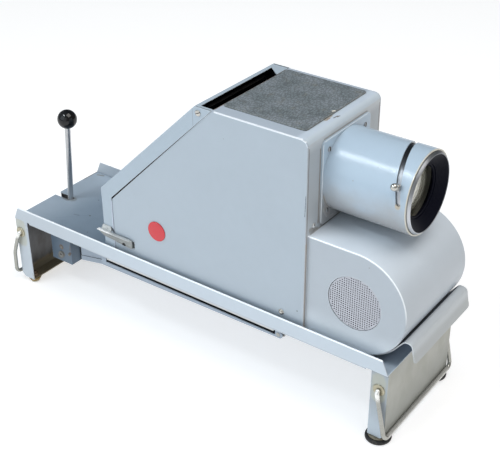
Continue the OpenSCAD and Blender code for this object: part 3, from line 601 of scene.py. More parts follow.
# the hood's base is the plain paint darkened and cooled, holding painted shade
M["hood"] = paint("paint_hood", base=tuple(a * k for a, k in zip(PAINT, (0.82, 0.88, 0.92))), marks=(
    ((28.6, -87, 282), (28.6, -87, 256), 0.25, 0.35, 0.1, c(126, 134, 146), 0.6),
    ((-112, -87, 60), (-96, -87, 43), 0.3, 0.6, 0.4, c(122, 128, 134), 0.4),
    # painted light along the hood's front seam, lifting the seam's shade
    ((-125.2, -86.9, 96), (-125.2, -86.9, 4), 0.5, 0.8, 0.2, c(206, 212, 228), 0.7),
    # painted shadow of the catch on the hood
    ((-126.6, -87, 49.5), (-125.2, -87, 44.5), 0.8, 0.9, 0.2, c(36, 42, 50), 0.9),
), wear_and_highlight=0.8, chips=0.4, grime_and_shade=0.2)


def tube_detail(m, col):
    """Beige worn rim at the mouth; the flange plate's outline carries a painted highlight, and the tube's lower side is
    painted greyer, a painted shade.
    """
    x, y, z = m.xyz
    # lower side painted greyer: painted shade
    lower_side_shade = (z + (m.noise(40, 3, 0.6, offset=1.9) - 0.5) * 50).step(AXIS_Z + 15, AXIS_Z - 38) * 0.9
    col = m.mix(lower_side_shade, col, c(162, 162, 162))
    col = m.mix((x + (m.noise(6, 3, 0.6) - 0.5) * 0.8).step(316.0, 316.8), col, c(206, 203, 190))
    # painted highlight along the flange plate's outline
    d = (y.abs() - 55.8).max((z - 213.25).abs() - 57.75)
    line = (d + (m.noise(5, 3, 0.6, offset=3.7) - 0.5) * 0.5).step(-1.5, -0.5) * x.step(202.4, 203.0) * x.step(204.5, 204.0)
    return m.mix(line * 0.55, col, c(232, 240, 246))


M["tube"] = paint("paint_tube", base=c(175, 194, 210), rough=0.24, marks=(
    ((317.9, 0, 214.7), (317.9, 0, 214.7), 0, 0.1, 0, PAINT, 0),
    ((203.6, -46, 177), (203.6, -40, 167), 3.4, 3.5, 2.6, c(150, 120, 86), 0.75),
    ((203.8, -51, 196), (203.8, -45, 176), 0.8, 2.0, 1.0, c(150, 126, 92), 0.7),
    ((203.8, -38, 160), (203.8, -28, 158), 1.0, 2.0, 1.2, c(140, 116, 84), 0.5),
    ((270, -40, 252), (270, -40, 252), 0.5, 0.3, 0.1, c(110, 116, 120), 0.7),
    ((244, -52.5, 231), (244, -52.5, 231), 0.5, 0.3, 0.1, c(120, 110, 104), 0.7),
    ((306.8, -56.3, 216.8), (306.8, -56.3, 219), 3.0, 1.4, 0.8, c(196, 176, 138), 0.75),
), wear_and_highlight=0.3, chips=0.2, extra=tube_detail, spec=0.6, peel=0.10)


def blower_detail(m, col):
    """Painted highlight along the casing's rounded edge; the sides painted darker but lighter low down, and the top
    lighter, as painted shade and light.
    """
    x, y, z = m.xyz
    q = (x - BX).max(0.0)
    r = (q * q + (z - BZ) * (z - BZ)).pow(0.5)
    off = (r - (BR - 0.75)).abs() + (y.abs() - (BY - 0.75)).abs()
    wav = (m.noise(30, 2, offset=5.1) - 0.5) * 14
    # painted highlight along the rounded edge
    line = off.step(1.7, 0.7) * (z + wav).step(BZ - 12, BZ + 22) * z.step(BZ - 40, BZ - 10)
    col = m.mix(line * 0.95, col, PAINTED_HIGHLIGHT)
    # sides painted darker: painted shade
    col = tinted(m, col, (0.91, 0.915, 0.92), y.abs().step(79.6, 80.6))
    # lower part of the sides painted lighter: painted light
    low = (z + (m.noise(40, 2) - 0.5) * 12).step(56, 6) * y.abs().step(79.6, 80.6)
    col = m.mix(low * 0.85, col, c(224, 234, 242))
    # top painted lighter: painted light
    return tinted(m, col, (1.38, 1.38, 1.38), z.step(BZ + 14, BZ + 68) * y.abs().step(80.6, 79.4))


M["blower"] = paint("paint_blower", base=tuple(a * k for a, k in zip(PAINT, (0.99, 0.985, 0.985))), marks=(
    ((289, -81, 139), (289, -81, 139), 0.5, 0.3, 0.1, c(110, 106, 100), 0.7),
    ((335, -60, 120), (335, -60, 120), 0.7, 0.5, 0.2, c(120, 114, 106), 0.6),
    ((201.2, -80, 145), (201.2, -80, 8), 0.4, 0.6, 0.3, c(136, 126, 112), 0.7),
    ((201.2, -75, 152), (201.2, 75, 152), 0.5, 1.2, 0.6, c(96, 88, 76), 0.6),
    # lighter patch low on the near side: painted light
    ((230, -81, 20), (260, -81, 15), 6, 14, 4, c(188, 196, 198), 0.3),
), wear_and_highlight=1.0, chips=0.25, grime_and_shade=0.3, extra=blower_detail)
M["grille"] = paint("paint_grille", base=c(184, 186, 194), wear_and_highlight=0.2, grime_and_shade=0.15, chips=0.2, rough=0.42)


def deck_detail(m, col):
    """The deck is painted bluer and darker than its flanges, a painted shade deepest beside the housing where its
    shadow falls; past the housing it is lighter, and the flanges' outer faces lighter to the right, as painted light.
    """
    x, y, z = m.xyz
    on = y.abs().step(92.0, 90.8) * z.step(3.2, 2.4)
    # painted shade over the deck, deepest beside the housing
    t = x.step(-330, -245) * y.step(90, 20) * x.step(180, 100)
    n = m.noise(30, 3, 0.6, offset=2.2) * 0.2 + 0.9
    shade = m.mix(t, (0.72, 0.78, 0.84), (0.41, 0.48, 0.55))
    # lighter past the housing: painted light
    shade = m.mix(x.step(200, 260), shade, (1.0, 1.06, 1.12))
    # flanges' outer faces painted lighter towards the right: painted light
    out = y.abs().step(92.2, 92.6) * z.step(-0.5, 0.5)
    col = tinted(m, col, (1.12, 1.135, 1.15), out * x.step(-260, -60))
    k = m.nt.nodes.new("ShaderNodeVectorMath")
    k.operation = "MULTIPLY"
    m.nt.links.new(col, k.inputs[0])
    m.nt.links.new(shade, k.inputs[1])
    return m.mix(on, col, m.mul(k.outputs[0], n))


M["tray"] = paint("paint_tray", marks=(
    # painted highlight along the flanges' top edges
    ((-343, -92.3, 21.2), (343, -92.3, 21.2), 1.1, 1.3, 0.15, PAINTED_HIGHLIGHT, 0.95),
    ((-303, -6, 1.6), (-312, -5, 1.6), 1.5, 3.0, 1.5, c(110, 92, 70), 0.5),
    ((-297, 0, 1.6), (-297, 0, 1.6), 4.5, 3.5, 1.5, c(124, 116, 100), 0.45),
    ((-322, 84, 1.6), (-312, 87, 1.6), 0.8, 1.8, 1.8, c(128, 110, 84), 0.6),
    ((-262, -33, 1.6), (-254, -31, 1.6), 0.8, 0.9, 1.0, c(124, 112, 100), 0.35),
    ((-235, 4, 1.6), (-235, 4, 1.6), 0.8, 0.5, 0.3, c(100, 84, 70), 0.8),
    ((-239, -22, 1.6), (-239, -22, 1.6), 1.0, 0.6, 0.3, c(112, 92, 74), 0.8),
    ((-262, 22, 1.6), (-262, 22, 1.6), 0.8, 0.4, 0.3, c(96, 84, 72), 0.8),
    ((-208, -60, 1.6), (-208, -60, 1.6), 0.7, 0.4, 0.3, c(96, 84, 72), 0.8),
    ((-280, -60, 1.6), (-240, -20, 1.6), 0.3, 0.6, 0.4, c(170, 178, 186), 0.35),
    ((-331, 60, 1.2), (-331, 90, 1.2), 1.0, 1.5, 1.2, c(126, 104, 78), 0.6),
    ((155, -92.8, 20.9), (158, -92.8, 20.7), 0.5, 0.3, 0.3, c(240, 240, 238), 0.8),
    # painted shadow on the deck under the end lip
    ((300, -70, 1.6), (300, 80, 1.6), 6.0, 12.0, 1.0, c(70, 80, 92), 0.4),
), wear_and_highlight=0.8, chips=0.5, extra=deck_detail)


def lip_detail(m, col):
    """Painted paler over the roll's top, as painted light, and darker down the hanging strip, as painted shade."""
    x, y, z = m.xyz
    col = tinted(m, col, (1.08, 1.08, 1.085), z.step(44, 48))
    return tinted(m, col, (0.83, 0.82, 0.80), z.step(42, 30) * x.step(351, 353))


# the lip's base is a paler, warmer copy of the plain paint, holding painted light
M["lip"] = paint("paint_lip", base=tuple(a * k for a, k in zip(PAINT, (1.04, 1.01, 0.97))), wear_and_highlight=1.0, chips=0.3, extra=lip_detail)



def plate_colour(m, col):
    """The plate that faces forward is painted a greenish grey for the warmer light on it, a painted light tint, with
    run marks, darker towards the bottom; elsewhere the leg is painted lighter low down, as painted light.
    """
    f = (m.xyz[0] + (m.noise(9, 3, 0.6, offset=3.3) - 0.5) * 0.6).step(330.2, 331.0)
    runs = m.noise(24, 4, 0.6, stretch=(1, 1, 1.7), offset=6.6)
    low = (m.xyz[2] + (m.noise(20, 2) - 0.5) * 20).step(-20, -100)
    plate = m.mix(runs.step(0.3, 0.7), c(178, 179, 171), c(164, 165, 154))
    plate = m.mix(low * 0.75, plate, c(130, 133, 128))
    # rest of the leg painted lighter low down: painted light
    col = tinted(m, col, (1.22, 1.25, 1.28), m.xyz[2].step(-48, -92))
    return m.mix(f, col, plate)


# the front leg's base is darker than the plain paint, holding painted shade
M["leg_front"] = paint("paint_leg_front", base=c(164, 173, 180), marks=(
    ((306, -88.5, -3.3), (331, -88.5, -3.3), 0.4, 0.8, 0.1, c(96, 102, 114), 0.8),
    ((290, -89, -60), (286, -89, -66), 0.7, 0.7, 0.6, c(92, 96, 104), 0.9),
    ((296, -89, -66), (288, -89, -72), 0.6, 0.6, 0.5, c(100, 104, 110), 0.8),
    ((285, -89, -92), (296, -89, -96), 0.7, 0.8, 0.7, c(112, 110, 104), 0.8),
    ((284, -89, -84), (289, -89, -80), 0.6, 0.5, 0.5, c(104, 106, 108), 0.8),
    ((318, -89, -14), (318, -89, -40), 7.5, 5.0, 1.5, c(190, 188, 160), 0.45),
), wear_and_highlight=0.5, chips=0.5, mottle=0.06, extra=plate_colour)
def leg_inside(m, col):
    """The hollow of the leg is dirty brown-grey, nearly black at the top under the tray as painted shade, rusty along
    the bottom flange.
    """
    x, y, z = m.xyz
    f = x.step(-330.6, -330.0) * y.abs().step(90.9, 90.3)
    dirt = m.noise(16, 4, 0.65, stretch=(1, 1, 2), offset=4.4)
    inner = m.mix(dirt.step(0.3, 0.7), c(106, 106, 107), c(84, 81, 78))
    # nearly black at the top of the hollow, under the tray: painted shade
    inner = m.mix(z.step(-24, -5) * 0.8, inner, c(24, 26, 32))
    rust = (z + (m.noise(10, 3, 0.6) - 0.5) * 14).step(-92, -102)
    inner = m.mix(rust * 0.85, inner, c(140, 126, 98))
    return m.mix(f, col, inner)


M["leg_rear"] = paint("paint_leg_rear", marks=(
    ((-322, -92, -8), (-322, -92, -38), 7.5, 6.0, 1.5, c(184, 182, 156), 0.5),
    ((-308, -92, -96), (-307, -92, -106), 0.6, 0.8, 0.6, c(150, 146, 130), 0.5),
), wear_and_highlight=0.5, chips=0.4, extra=leg_inside)
# the brackets' base is much darker than the plain paint: painted shade under the deck
M["bracket"] = paint("paint_bracket", base=c(96, 113, 129), marks=(
    ((-269.5, -61, -47.6), (-269.5, -61, -47.6), 3.4, 2.0, 1.0, c(120, 94, 66), 0.8),
    ((-254, -61, -56.7), (-251, -61, -53), 1.8, 1.2, 0.8, c(96, 74, 56), 0.8),
    ((-251, -61, -48), (-249.5, -61, -38), 0.8, 1.0, 0.8, c(112, 88, 66), 0.7),
    ((-268, -61, -60), (-274, -61, -66), 3.8, 2.4, 0.8, c(128, 112, 90), 0.5),
), wear_and_highlight=0.5, chips=0.7)
# the carrier's base is darker than the plain paint: painted shade under the deck
M["platen"] = paint("paint_platen", base=c(148, 161, 175), marks=(
    ((-150, -91, -18), (-60, -91, -16), 0.6, 1.0, 0.6, c(120, 124, 128), 0.3),
), wear_and_highlight=0.5, chips=0.4)


# ---------------------------------------------------------------- mesh helpers


def place(ob):
    bpy.context.scene.collection.objects.link(ob)
    return ob


def fixed(ob):
    """Turns the object's modifiers into its mesh."""
    bpy.context.view_layer.update()
    dg = bpy.context.evaluated_depsgraph_get()
    me = bpy.data.meshes.new_from_object(ob.evaluated_get(dg), preserve_all_data_layers=True, depsgraph=dg)
    old = ob.data
    ob.modifiers.clear()
    ob.data = me
    bpy.data.meshes.remove(old)
    return ob


def shaded(ob, angle=32.0, weighted=True):
    me = ob.data
    if "custom_normal" in me.attributes:
        me.attributes.remove(me.attributes["custom_normal"])
    for p in me.polygons:
        p.use_smooth = True
    me.set_sharp_from_angle(angle=math.radians(angle))
    if weighted:
        w = ob.modifiers.new("wn", "WEIGHTED_NORMAL")
        w.keep_sharp = True
        w.weight = 50
        fixed(ob)
    return ob


def piece(name, bm, body, mats, replaces=(), angle=32.0, weighted=True, normals=True):
    """A finished piece from a bmesh in drawing millimetres."""
    if normals:
        bmesh.ops.recalc_face_normals(bm, faces=bm.faces)
    for v in bm.verts:
        v.co = to_row(v.co)
    me = bpy.data.meshes.new(name)
    bm.to_mesh(me)
    bm.free()
    for mt in mats if isinstance(mats, (list, tuple)) else [mats]:
        me.materials.append(mt)
    ob = place(bpy.data.objects.new(name, me))
    shaded(ob, angle, weighted)
    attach(ob, body)
    if replaces:
        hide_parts(*replaces)
    return ob


def flat_regions(bm, limit):
    """Groups of faces that lie in one plane, with a number for each face."""
    bm.faces.index_update()
    tag = [-1] * len(bm.faces)
    groups = []
    for f in bm.faces:
        if tag[f.index] >= 0:
            continue
        tag[f.index] = len(groups)
        todo, group = [f], []
        while todo:
            g = todo.pop()
            group.append(g)
            for e in g.edges:
                if e.seam or len(e.link_faces) != 2 or e.calc_face_angle(9.0) > limit:
                    continue
                for h in e.link_faces:
                    if tag[h.index] < 0:
                        tag[h.index] = len(groups)
                        todo.append(h)
        groups.append(group)
    return groups, tag


def split_holes(bm, limit):
    """Cuts every flat region with holes through the middle of each hole, so that each part has one outline."""
    for _ in range(4):
        bm.normal_update()
        groups, tag = flat_regions(bm, limit)
        jobs = []
        for k, group in enumerate(groups):
            if len(group) < 4:
                continue
            verts, edges, rim = set(), set(), []
            for f in group:
                verts.update(f.verts)
                for e in f.edges:
                    edges.add(e)
            if len(verts) - len(edges) + len(group) >= 1:
                continue
            rim = [e for e in edges if sum(1 for h in e.link_faces if tag[h.index] == k) == 1 or e.seam]
            left = set(rim)
            loops = []
            while left:
                todo, loop = [left.pop()], []
                while todo:
                    e = todo.pop()
                    loop.append(e)
                    for v in e.verts:
                        for q in v.link_edges:
                            if q in left:
                                left.discard(q)
                                todo.append(q)
                pts = [v.co for e in loop for v in e.verts]
                lo = Vector([min(q[i] for q in pts) for i in range(3)])
                hi = Vector([max(q[i] for q in pts) for i in range(3)])
                loops.append((lo, hi))
            loops.sort(key=lambda b: -(b[1] - b[0]).length)
            size = loops[0][1] - loops[0][0]
            ax = max(range(3), key=lambda i: size[i])
            cuts = sorted(set(round((b[0][ax] + b[1][ax]) / 2, 2) for b in loops[1:]))
            if cuts:
                jobs.append((group, ax, cuts))
        if not jobs:
            return
        for group, ax, cuts in jobs:
            faces = list(group)
            for at in cuts:
                geom = set(faces)
                for f in faces:
                    geom.update(f.edges)
                    geom.update(f.verts)
                co, no = Vector((0, 0, 0)), Vector((0, 0, 0))
                co[ax], no[ax] = at, 1.0
                r = bmesh.ops.bisect_plane(bm, geom=list(geom), dist=1e-3, plane_co=co, plane_no=no)
                faces = [g for g in r["geom"] if isinstance(g, bmesh.types.BMFace)]
                inside = set(faces)
                for g in r["geom_cut"]:
                    if isinstance(g, bmesh.types.BMEdge) and all(h in inside for h in g.link_faces) and g.calc_face_angle(9.0) < limit:
                        g.seam = True


def from_cad(node, dissolve=0.5):
    bm = bmesh.new()
    bm.from_mesh(NODES[node].data)
    for v in bm.verts:
        v.co = Vector((v.co.x * 1000 + FX, v.co.y * 1000, v.co.z * 1000 - FZ))
    bmesh.ops.remove_doubles(bm, verts=bm.verts, dist=0.004)
    bmesh.ops.dissolve_degenerate(bm, dist=0.002, edges=bm.edges)
    bmesh.ops.recalc_face_normals(bm, faces=bm.faces)
    limit = math.radians(dissolve)
    split_holes(bm, limit)
    bm.normal_update()
    groups, tag = flat_regions(bm, limit)
    whole = set()
    for k, group in enumerate(groups):
        verts, edges = set(), set()
        for f in group:
            verts.update(f.verts)
            edges.update(f.edges)
        if len(verts) - len(edges) + len(group) == 1:
            whole.add(k)
    inner = [e for e in bm.edges if not e.seam and len(e.link_faces) == 2 and tag[e.link_faces[0].index] == tag[e.link_faces[1].index]
             and tag[e.link_faces[0].index] in whole and e.calc_face_angle(9.0) < limit]
    bmesh.ops.dissolve_limit(bm, angle_limit=limit, use_dissolve_boundaries=False, verts=bm.verts, edges=inner)
    bm.normal_update()
    return bm


def bevel(bm, want, width, seg=2, clamp=True):
    bm.normal_update()
    edges = [e for e in bm.edges if len(e.link_faces) == 2 and want(e)]
    if edges:
        bmesh.ops.bevel(bm, geom=edges, offset=width, offset_type="OFFSET", segments=seg, profile=0.5, affect="EDGES", clamp_overlap=clamp, miter_outer="SHARP")
    return len(edges)


def fold(e, angle=40.0):
    """The angle between the two faces is sharp, and the edge sticks out."""
    return e.is_convex and e.calc_face_angle(0.0) > math.radians(angle)


def wide(e, area=260.0):
    return min(f.calc_area() for f in e.link_faces) > area


def near(v, t, tol=0.02):
    return abs(v - t) < tol


def refined(node, body, mats, folds=0.0, area=260.0, small=0.25, angle=32.0, name=None, face_mat=None, dissolve=0.5, seg=3, extra=None):
    """A CAD node's shape with rounded folds and softened edges, as a piece of its own."""
    bm = from_cad(node, dissolve)
    if extra:
        extra(bm)
    if folds:
        bevel(bm, lambda e: fold(e) and wide(e, area), folds, seg)
    if small:
        bevel(bm, lambda e: fold(e, 42), small, 2)
    if face_mat:
        bm.normal_update()
        for f in bm.faces:
            f.material_index = face_mat(f)
    return piece(name or node + "_finished", bm, body, mats, (node,), angle, normals=False)


def frame_of(axis):
    a = Vector(axis).normalized()
    u = a.orthogonal().normalized() if abs(a.z) < 0.9 else Vector((1, 0, 0))
    u = (u - a * u.dot(a)).normalized()
    return a, u, a.cross(u)


def lathe(bm, profile, origin, axis, n=64, closed=False, mat=0):
    """Turns a profile of (radius, distance along the axis) round the axis. A radius of 0 closes the end."""
    a, u, w = frame_of(axis)
    o = Vector(origin)
    rings = []
    for r, t in profile:
        if r < 1e-6:
            rings.append([bm.verts.new(o + a * t)])
        else:
            rings.append([bm.verts.new(o + a * t + (u * math.cos(2 * math.pi * k / n) + w * math.sin(2 * math.pi * k / n)) * r) for k in range(n)])
    pairs = list(zip(rings, rings[1:])) + ([(rings[-1], rings[0])] if closed else [])
    for p, q in pairs:
        for k in range(n):
            j = (k + 1) % n
            if len(p) == 1 and len(q) == 1:
                continue
            if len(p) == 1:
                f = bm.faces.new((p[0], q[k], q[j]))
            elif len(q) == 1:
                f = bm.faces.new((p[k], q[0], p[j]))
            else:
                f = bm.faces.new((p[k], q[k], q[j], p[j]))
            f.material_index = mat
    return rings


def rounded(pts, radii, seg=5, closed=True):
    """A polygon or open line with its corners rounded."""
    out = []
    n = len(pts)
    for i, p in enumerate(pts):
        r = radii[i] if isinstance(radii, (list, tuple)) else radii
        p = Vector(p)
        if r <= 0 or (not closed and i in (0, n - 1)):
            out.append(p)
            continue
        a, b = (Vector(pts[i - 1]) - p), (Vector(pts[(i + 1) % n]) - p)
        la, lb = a.length, b.length
        a.normalize()
        b.normalize()
        half = math.acos(max(-1, min(1, a.dot(b)))) / 2
        if half > math.pi / 2 - 0.01:
            out.append(p)
            continue
        d = min(r / math.tan(half), la * 0.49, lb * 0.49)
        rr = d * math.tan(half)
        bis = (a + b).normalized()
        centre = p + bis * (rr / math.sin(half))
        s, e = p + a * d - centre, p + b * d - centre
        ang = math.acos(max(-1, min(1, s.normalized().dot(e.normalized()))))
        for k in range(seg + 1):
            t = k / seg
            v = s * (math.sin((1 - t) * ang) / math.sin(ang)) + e * (math.sin(t * ang) / math.sin(ang))
            out.append(centre + v)
    return out


def ring_face(bm, verts):
    try:
        return bm.faces.new(verts)
    except ValueError:
        return None


def prism(bm, outline, axis, lo, hi, mat=0):
    """A flat outline extruded along x, y or z."""
    put = {"x": lambda p, t: (t, p[0], p[1]), "y": lambda p, t: (p[0], t, p[1]), "z": lambda p, t: (p[0], p[1], t)}[axis]
    a = [bm.verts.new(put(p, lo)) for p in outline]
    b = [bm.verts.new(put(p, hi)) for p in outline]
    fs = [bm.faces.new(a), bm.faces.new(b)]
    n = len(a)
    for k in range(n):
        fs.append(bm.faces.new((a[k], a[(k + 1) % n], b[(k + 1) % n], b[k])))
    for f in fs:
        f.material_index = mat
    return a, b


def sweep(bm, pts, r, n=16, mat=0):
    """A round wire along a line of points."""
    pts = [Vector(p) for p in pts]
    rings = []
    u = None
    for i, p in enumerate(pts):
        t = (pts[min(i + 1, len(pts) - 1)] - pts[max(i - 1, 0)]).normalized()
        if u is None:
            u = t.orthogonal().normalized()
        u = (u - t * u.dot(t)).normalized()
        w = t.cross(u)
        rings.append([bm.verts.new(p + (u * math.cos(2 * math.pi * k / n) + w * math.sin(2 * math.pi * k / n)) * r) for k in range(n)])
    for a, b in zip(rings, rings[1:]):
        for k in range(n):
            bm.faces.new((a[k], a[(k + 1) % n], b[(k + 1) % n], b[k])).material_index = mat
    for ring in (rings[0], rings[-1]):
        bm.faces.new(ring).material_index = mat


def flat_mesh(outline, holes, extra=(), cut=None):
    """Triangles of a flat region with holes: (points, triangles)."""
    pts, edges = [], []
    for loop in [outline, *holes]:
        k = len(pts)
        pts += [Vector((p[0], p[1])) for p in loop]
        edges += [(k + i, k + (i + 1) % len(loop)) for i in range(len(loop))]
    pts += [Vector(p) for p in extra]
    vs, _, fs, *_ = delaunay_2d_cdt(pts, edges, [], 0, 1e-5)

    def inside(p, loop):
        odd = False
        j = len(loop) - 1
        for i in range(len(loop)):
            a, b = loop[i], loop[j]
            if (a[1] > p[1]) != (b[1] > p[1]) and p[0] < (b[0] - a[0]) * (p[1] - a[1]) / (b[1] - a[1]) + a[0]:
                odd = not odd
            j = i
        return odd

    boxes = [(min(p[0] for p in h), max(p[0] for p in h), min(p[1] for p in h), max(p[1] for p in h)) for h in holes]
    keep = []
    for f in fs:
        m = sum((vs[i] for i in f), Vector((0, 0))) / len(f)
        if not inside(m, outline):
            continue
        if any(bx[0] <= m.x <= bx[1] and bx[2] <= m.y <= bx[3] and inside(m, h) for bx, h in zip(boxes, holes)):
            continue
        keep.append(f)
    return vs, keep


def thick(ob, mm, offset=-1.0):
    s = ob.modifiers.new("solid", "SOLIDIFY")
    s.thickness = mm / 1000
    s.offset = offset
    s.use_even_offset = True
    return fixed(ob)


def with_bevel(ob, mm, seg=2, angle=40):
    b = ob.modifiers.new("bevel", "BEVEL")
    b.width = mm / 1000
    b.segments = seg
    b.limit_method = "ANGLE"
    b.angle_limit = math.radians(angle)
    return fixed(ob)


def cut(ob, bm):
    """Takes the bmesh, in drawing millimetres, out of the object."""
    bmesh.ops.recalc_face_normals(bm, faces=bm.faces)
    for v in bm.verts:
        v.co = to_row(v.co)
    me = bpy.data.meshes.new("cutter")
    bm.to_mesh(me)
    bm.free()
    k = place(bpy.data.objects.new("cutter", me))
    m = ob.modifiers.new("cut", "BOOLEAN")
    m.operation = "DIFFERENCE"
    m.solver = "EXACT"
    m.object = k
    fixed(ob)
    bpy.data.objects.remove(k)
    bpy.data.meshes.remove(me)
    return ob


def circle(cx, cz, r, n=64, start=0.0):
    return [(cx + r * math.cos(start + 2 * math.pi * k / n), cz + r * math.sin(start + 2 * math.pi * k / n)) for k in range(n)]


def restyle(node, mats):
    """Gives a CAD node that stays a better material."""
    ob = NODES[node]
    mats = mats if isinstance(mats, (list, tuple)) else [mats]
    ob.data.materials.clear()
    for m in mats:
        ob.data.materials.append(m)


# ---------------------------------------------------------------- housing


def housing_rim(e):
    a, b = e.verts
    if not (near(abs(a.co.y), 85.7) and near(abs(b.co.y), 85.7)):
        return False
    m = (a.co + b.co) / 2
    if near(m.z, 284, 0.05) and m.x > 57.9:
        return True
    if near(m.x, 200.5, 0.05) and m.z > 2:
        return True
    return m.x > 191.4 and m.z > 274.9 and abs(math.hypot(m.x - 191.5, m.z - 275) - 9) < 0.1


def housing_inside(f):
    m, n = f.calc_center_median(), f.normal
    if abs(n.y) > 0.9 and abs(m.y) < 85.0:
        return 1
    if abs(m.y) < 84.6 and (n.z < -0.5 and m.z > 200 or n.x < -0.5 and m.x > 190 or n.z > 0.5 and m.z < 20):
        return 1
    return 0


def housing_prep(bm):
    bevel(bm, housing_rim, 2.6, 5)


refined("housing_shell", "base", [M["housing"], M["inside"]], small=0.3, face_mat=housing_inside, extra=housing_prep)


# ---------------------------------------------------------------- hood


def hood_prep(bm):
    def rim(e):
        a, b = e.verts
        if not (near(abs(a.co.y), 86.9) and near(abs(b.co.y), 86.9)):
            return False
        m = (a.co + b.co) / 2
        return near(m.z - 111.55 - (m.x + 144.1) * 172.45 / 175.5, 0, 0.1) or near(m.x, -144.1, 0.05)

    bevel(bm, rim, 1.0, 4)
    bevel(bm, lambda e: fold(e, 25) and wide(e, 900) and abs(e.verts[0].co.y) < 87 and near(abs(e.verts[0].co.y), abs(e.verts[1].co.y), 2.0) and abs(e.verts[0].co.y - e.verts[1].co.y) > 60, 1.6, 4)


def hood_inside(f):
    m, n = f.calc_center_median(), f.normal
    if abs(n.y) > 0.9 and abs(m.y) < 86.2 and n.y * m.y < 0:
        return 1
    if abs(m.y) < 80 and (n.x > 0.5 or (n.x > 0.2 and n.z < -0.2) or n.z < -0.5):
        return 1
    return 0


refined("rear_hood", "hood", [M["hood"], M["inside"]], small=0.3, face_mat=hood_inside, extra=hood_prep)


def seam_strip():
    """Folded edge of the side panel behind the hood's front seam."""
    for s, nm in ((-1, "near"), (1, "far")):
        bm = bmesh.new()
        lo, hi = sorted((s * 85.62, s * 84.9))
        prism(bm, rounded([(-127.5, 8), (-121, 8), (-121, 97), (-127.5, 94)], 1.0, 3), "y", lo, hi)
        piece("panel_edge_fold_" + nm, bm, "base", M["housing"], (), 40)
        # inner fold that closes the slit between the panel's sloping edge and the hood, black: a dark sheet standing in
        # for the shade in the slit
        bm = bmesh.new()
        prism(bm, rounded([(-120, 98), (-120, 109), (30, 259.5), (42, 262)], 1.0, 3), "y", lo, hi)
        piece("panel_slope_fold_" + nm, bm, "base", M["inside"], (), 40)


seam_strip()
refined("hood_catch", "hood", M["catch"], small=0.3)
refined("hood_latch", "latch", M["latch"], small=0.3)

# ---------------------------------------------------------------- tray, legs, brackets, platen


def tray_prep(bm):
    bevel(bm, lambda e: near(e.verts[0].co.z, 21.5) and near(e.verts[1].co.z, 21.5) and abs(e.verts[0].co.x - e.verts[1].co.x) > 50, 0.72, 4)


refined("tray", "base", M["tray"], small=0.3, extra=tray_prep)
refined("front_leg", "base", M["leg_front"], folds=1.3, small=0.3)
refined("rear_leg", "base", M["leg_rear"], folds=1.3, small=0.3)
refined("lever_bracket_near", "base", M["bracket"], folds=1.2, small=0.3)
refined("lever_bracket_far", "base", M["bracket"], folds=1.2, small=0.3)


def bracket_returns():
    """Narrow black return on the front end of each lever bracket, a dark strip standing in for the shade in the gap
    there.
    """
    for s, nm in ((-1, "near"), (1, "far")):
        bm = bmesh.new()
        lo, hi = sorted((s * 40.6, s * 39.1))
        prism(bm, rounded([(lo, -73), (hi, -73), (hi, -3), (lo, -3)], 0.3, 2), "x", -249.2, -246.3)
        piece("lever_bracket_return_" + nm, bm, "base", M["inside"], (), 40)


bracket_returns()


def platen_dark(f):
    """The carrier's floor and inner walls behind its side slots are painted black, a painted shade inside the slots."""
    m, n = f.calc_center_median(), f.normal
    return 1 if (n.z > 0.9 and m.z < -12 and abs(m.y) < 89) or (abs(n.y) > 0.9 and abs(m.y) < 88.8 and m.x > -149) else 0


refined("platen_carrier", "platen", [M["platen"], M["inside"]], folds=0.6, area=400, small=0.25, face_mat=platen_dark)
refined("pressure_plate", "press", M["aluminium"], small=0.4)


def end_lip():
    arc = [(BX + 73.9 * math.sin(math.radians(a)), BZ - 73.9 * math.cos(math.radians(a))) for a in range(22, 60, 3)]
    line = rounded([(262, 3.0), (280.4, 3.0), *arc, (337.2, 43.4), (339.3, 46.2), (341.4, 48.2), (344.5, 48.9), (348, 48.8), (350.6, 47.9),
                    (352.9, 46.2), (354.2, 42.5), (355.5, 34.8), (356.9, 28.8), (359.0, 21.0)],
                   [0, 12, *[0] * len(arc), 2, 2, 2, 2, 3, 2, 2.2, 3, 12, 12, 0], seg=3, closed=False)
    run = [0.0]
    for a, b in zip(line, line[1:]):
        run.append(run[-1] + (b - a).length)
    # a few more rows near the free edge, for its rounded corners
    more = []
    total = run[-1]
    for s in [total - 5.2 * (1 - math.cos(k * math.pi / 16)) for k in range(8, -1, -1)]:
        more.append(s)
    rows = sorted(set([round(s, 4) for s in run if s < total - 5.3] + [round(s, 4) for s in more]))

    def at(s):
        for i in range(len(run) - 1):
            if s <= run[i + 1] + 1e-6:
                t = (s - run[i]) / max(run[i + 1] - run[i], 1e-9)
                return line[i].lerp(line[i + 1], t)
        return line[-1]

    bm = bmesh.new()
    grid = []
    for s in rows:
        p = at(s)
        left = total - s
        half = 76.0 if left >= 5.2 else 76.0 - 5.2 + math.sqrt(max(0.0, 5.2 ** 2 - (5.2 - left) ** 2))
        grid.append([bm.verts.new((p.x, y, p.y)) for y in [-half + (2 * half) * k / 8 for k in range(9)]])
    for a, b in zip(grid, grid[1:]):
        for k in range(8):
            bm.faces.new((a[k], b[k], b[k + 1], a[k + 1]))
    bm.normal_update()
    ob = piece("end_lip_folded", bm, "base", [M["lip"], M["under"]], ("end_lip",), 50, weighted=False, normals=False)
    # the CAD strip lies below and outside the drawn line
    thick(ob, 1.5, 1.0 if ob.data.polygons[0].normal.z < 0 else -1.0)
    # faces inside the roll and under the hook take the darker underside paint: painted shade
    for p in ob.data.polygons:
        x, z, n = p.center.x * 1000 + FX, p.center.z * 1000 - FZ, p.normal
        if (x < 340 and z > 3.2 and n.x > 0.2) or (x >= 338 and z > 26 and (n.z < -0.3 or n.x < -0.5)):
            p.material_index = 1
    with_bevel(ob, 0.35, 2, 50)
    shaded(ob, 40)


end_lip()

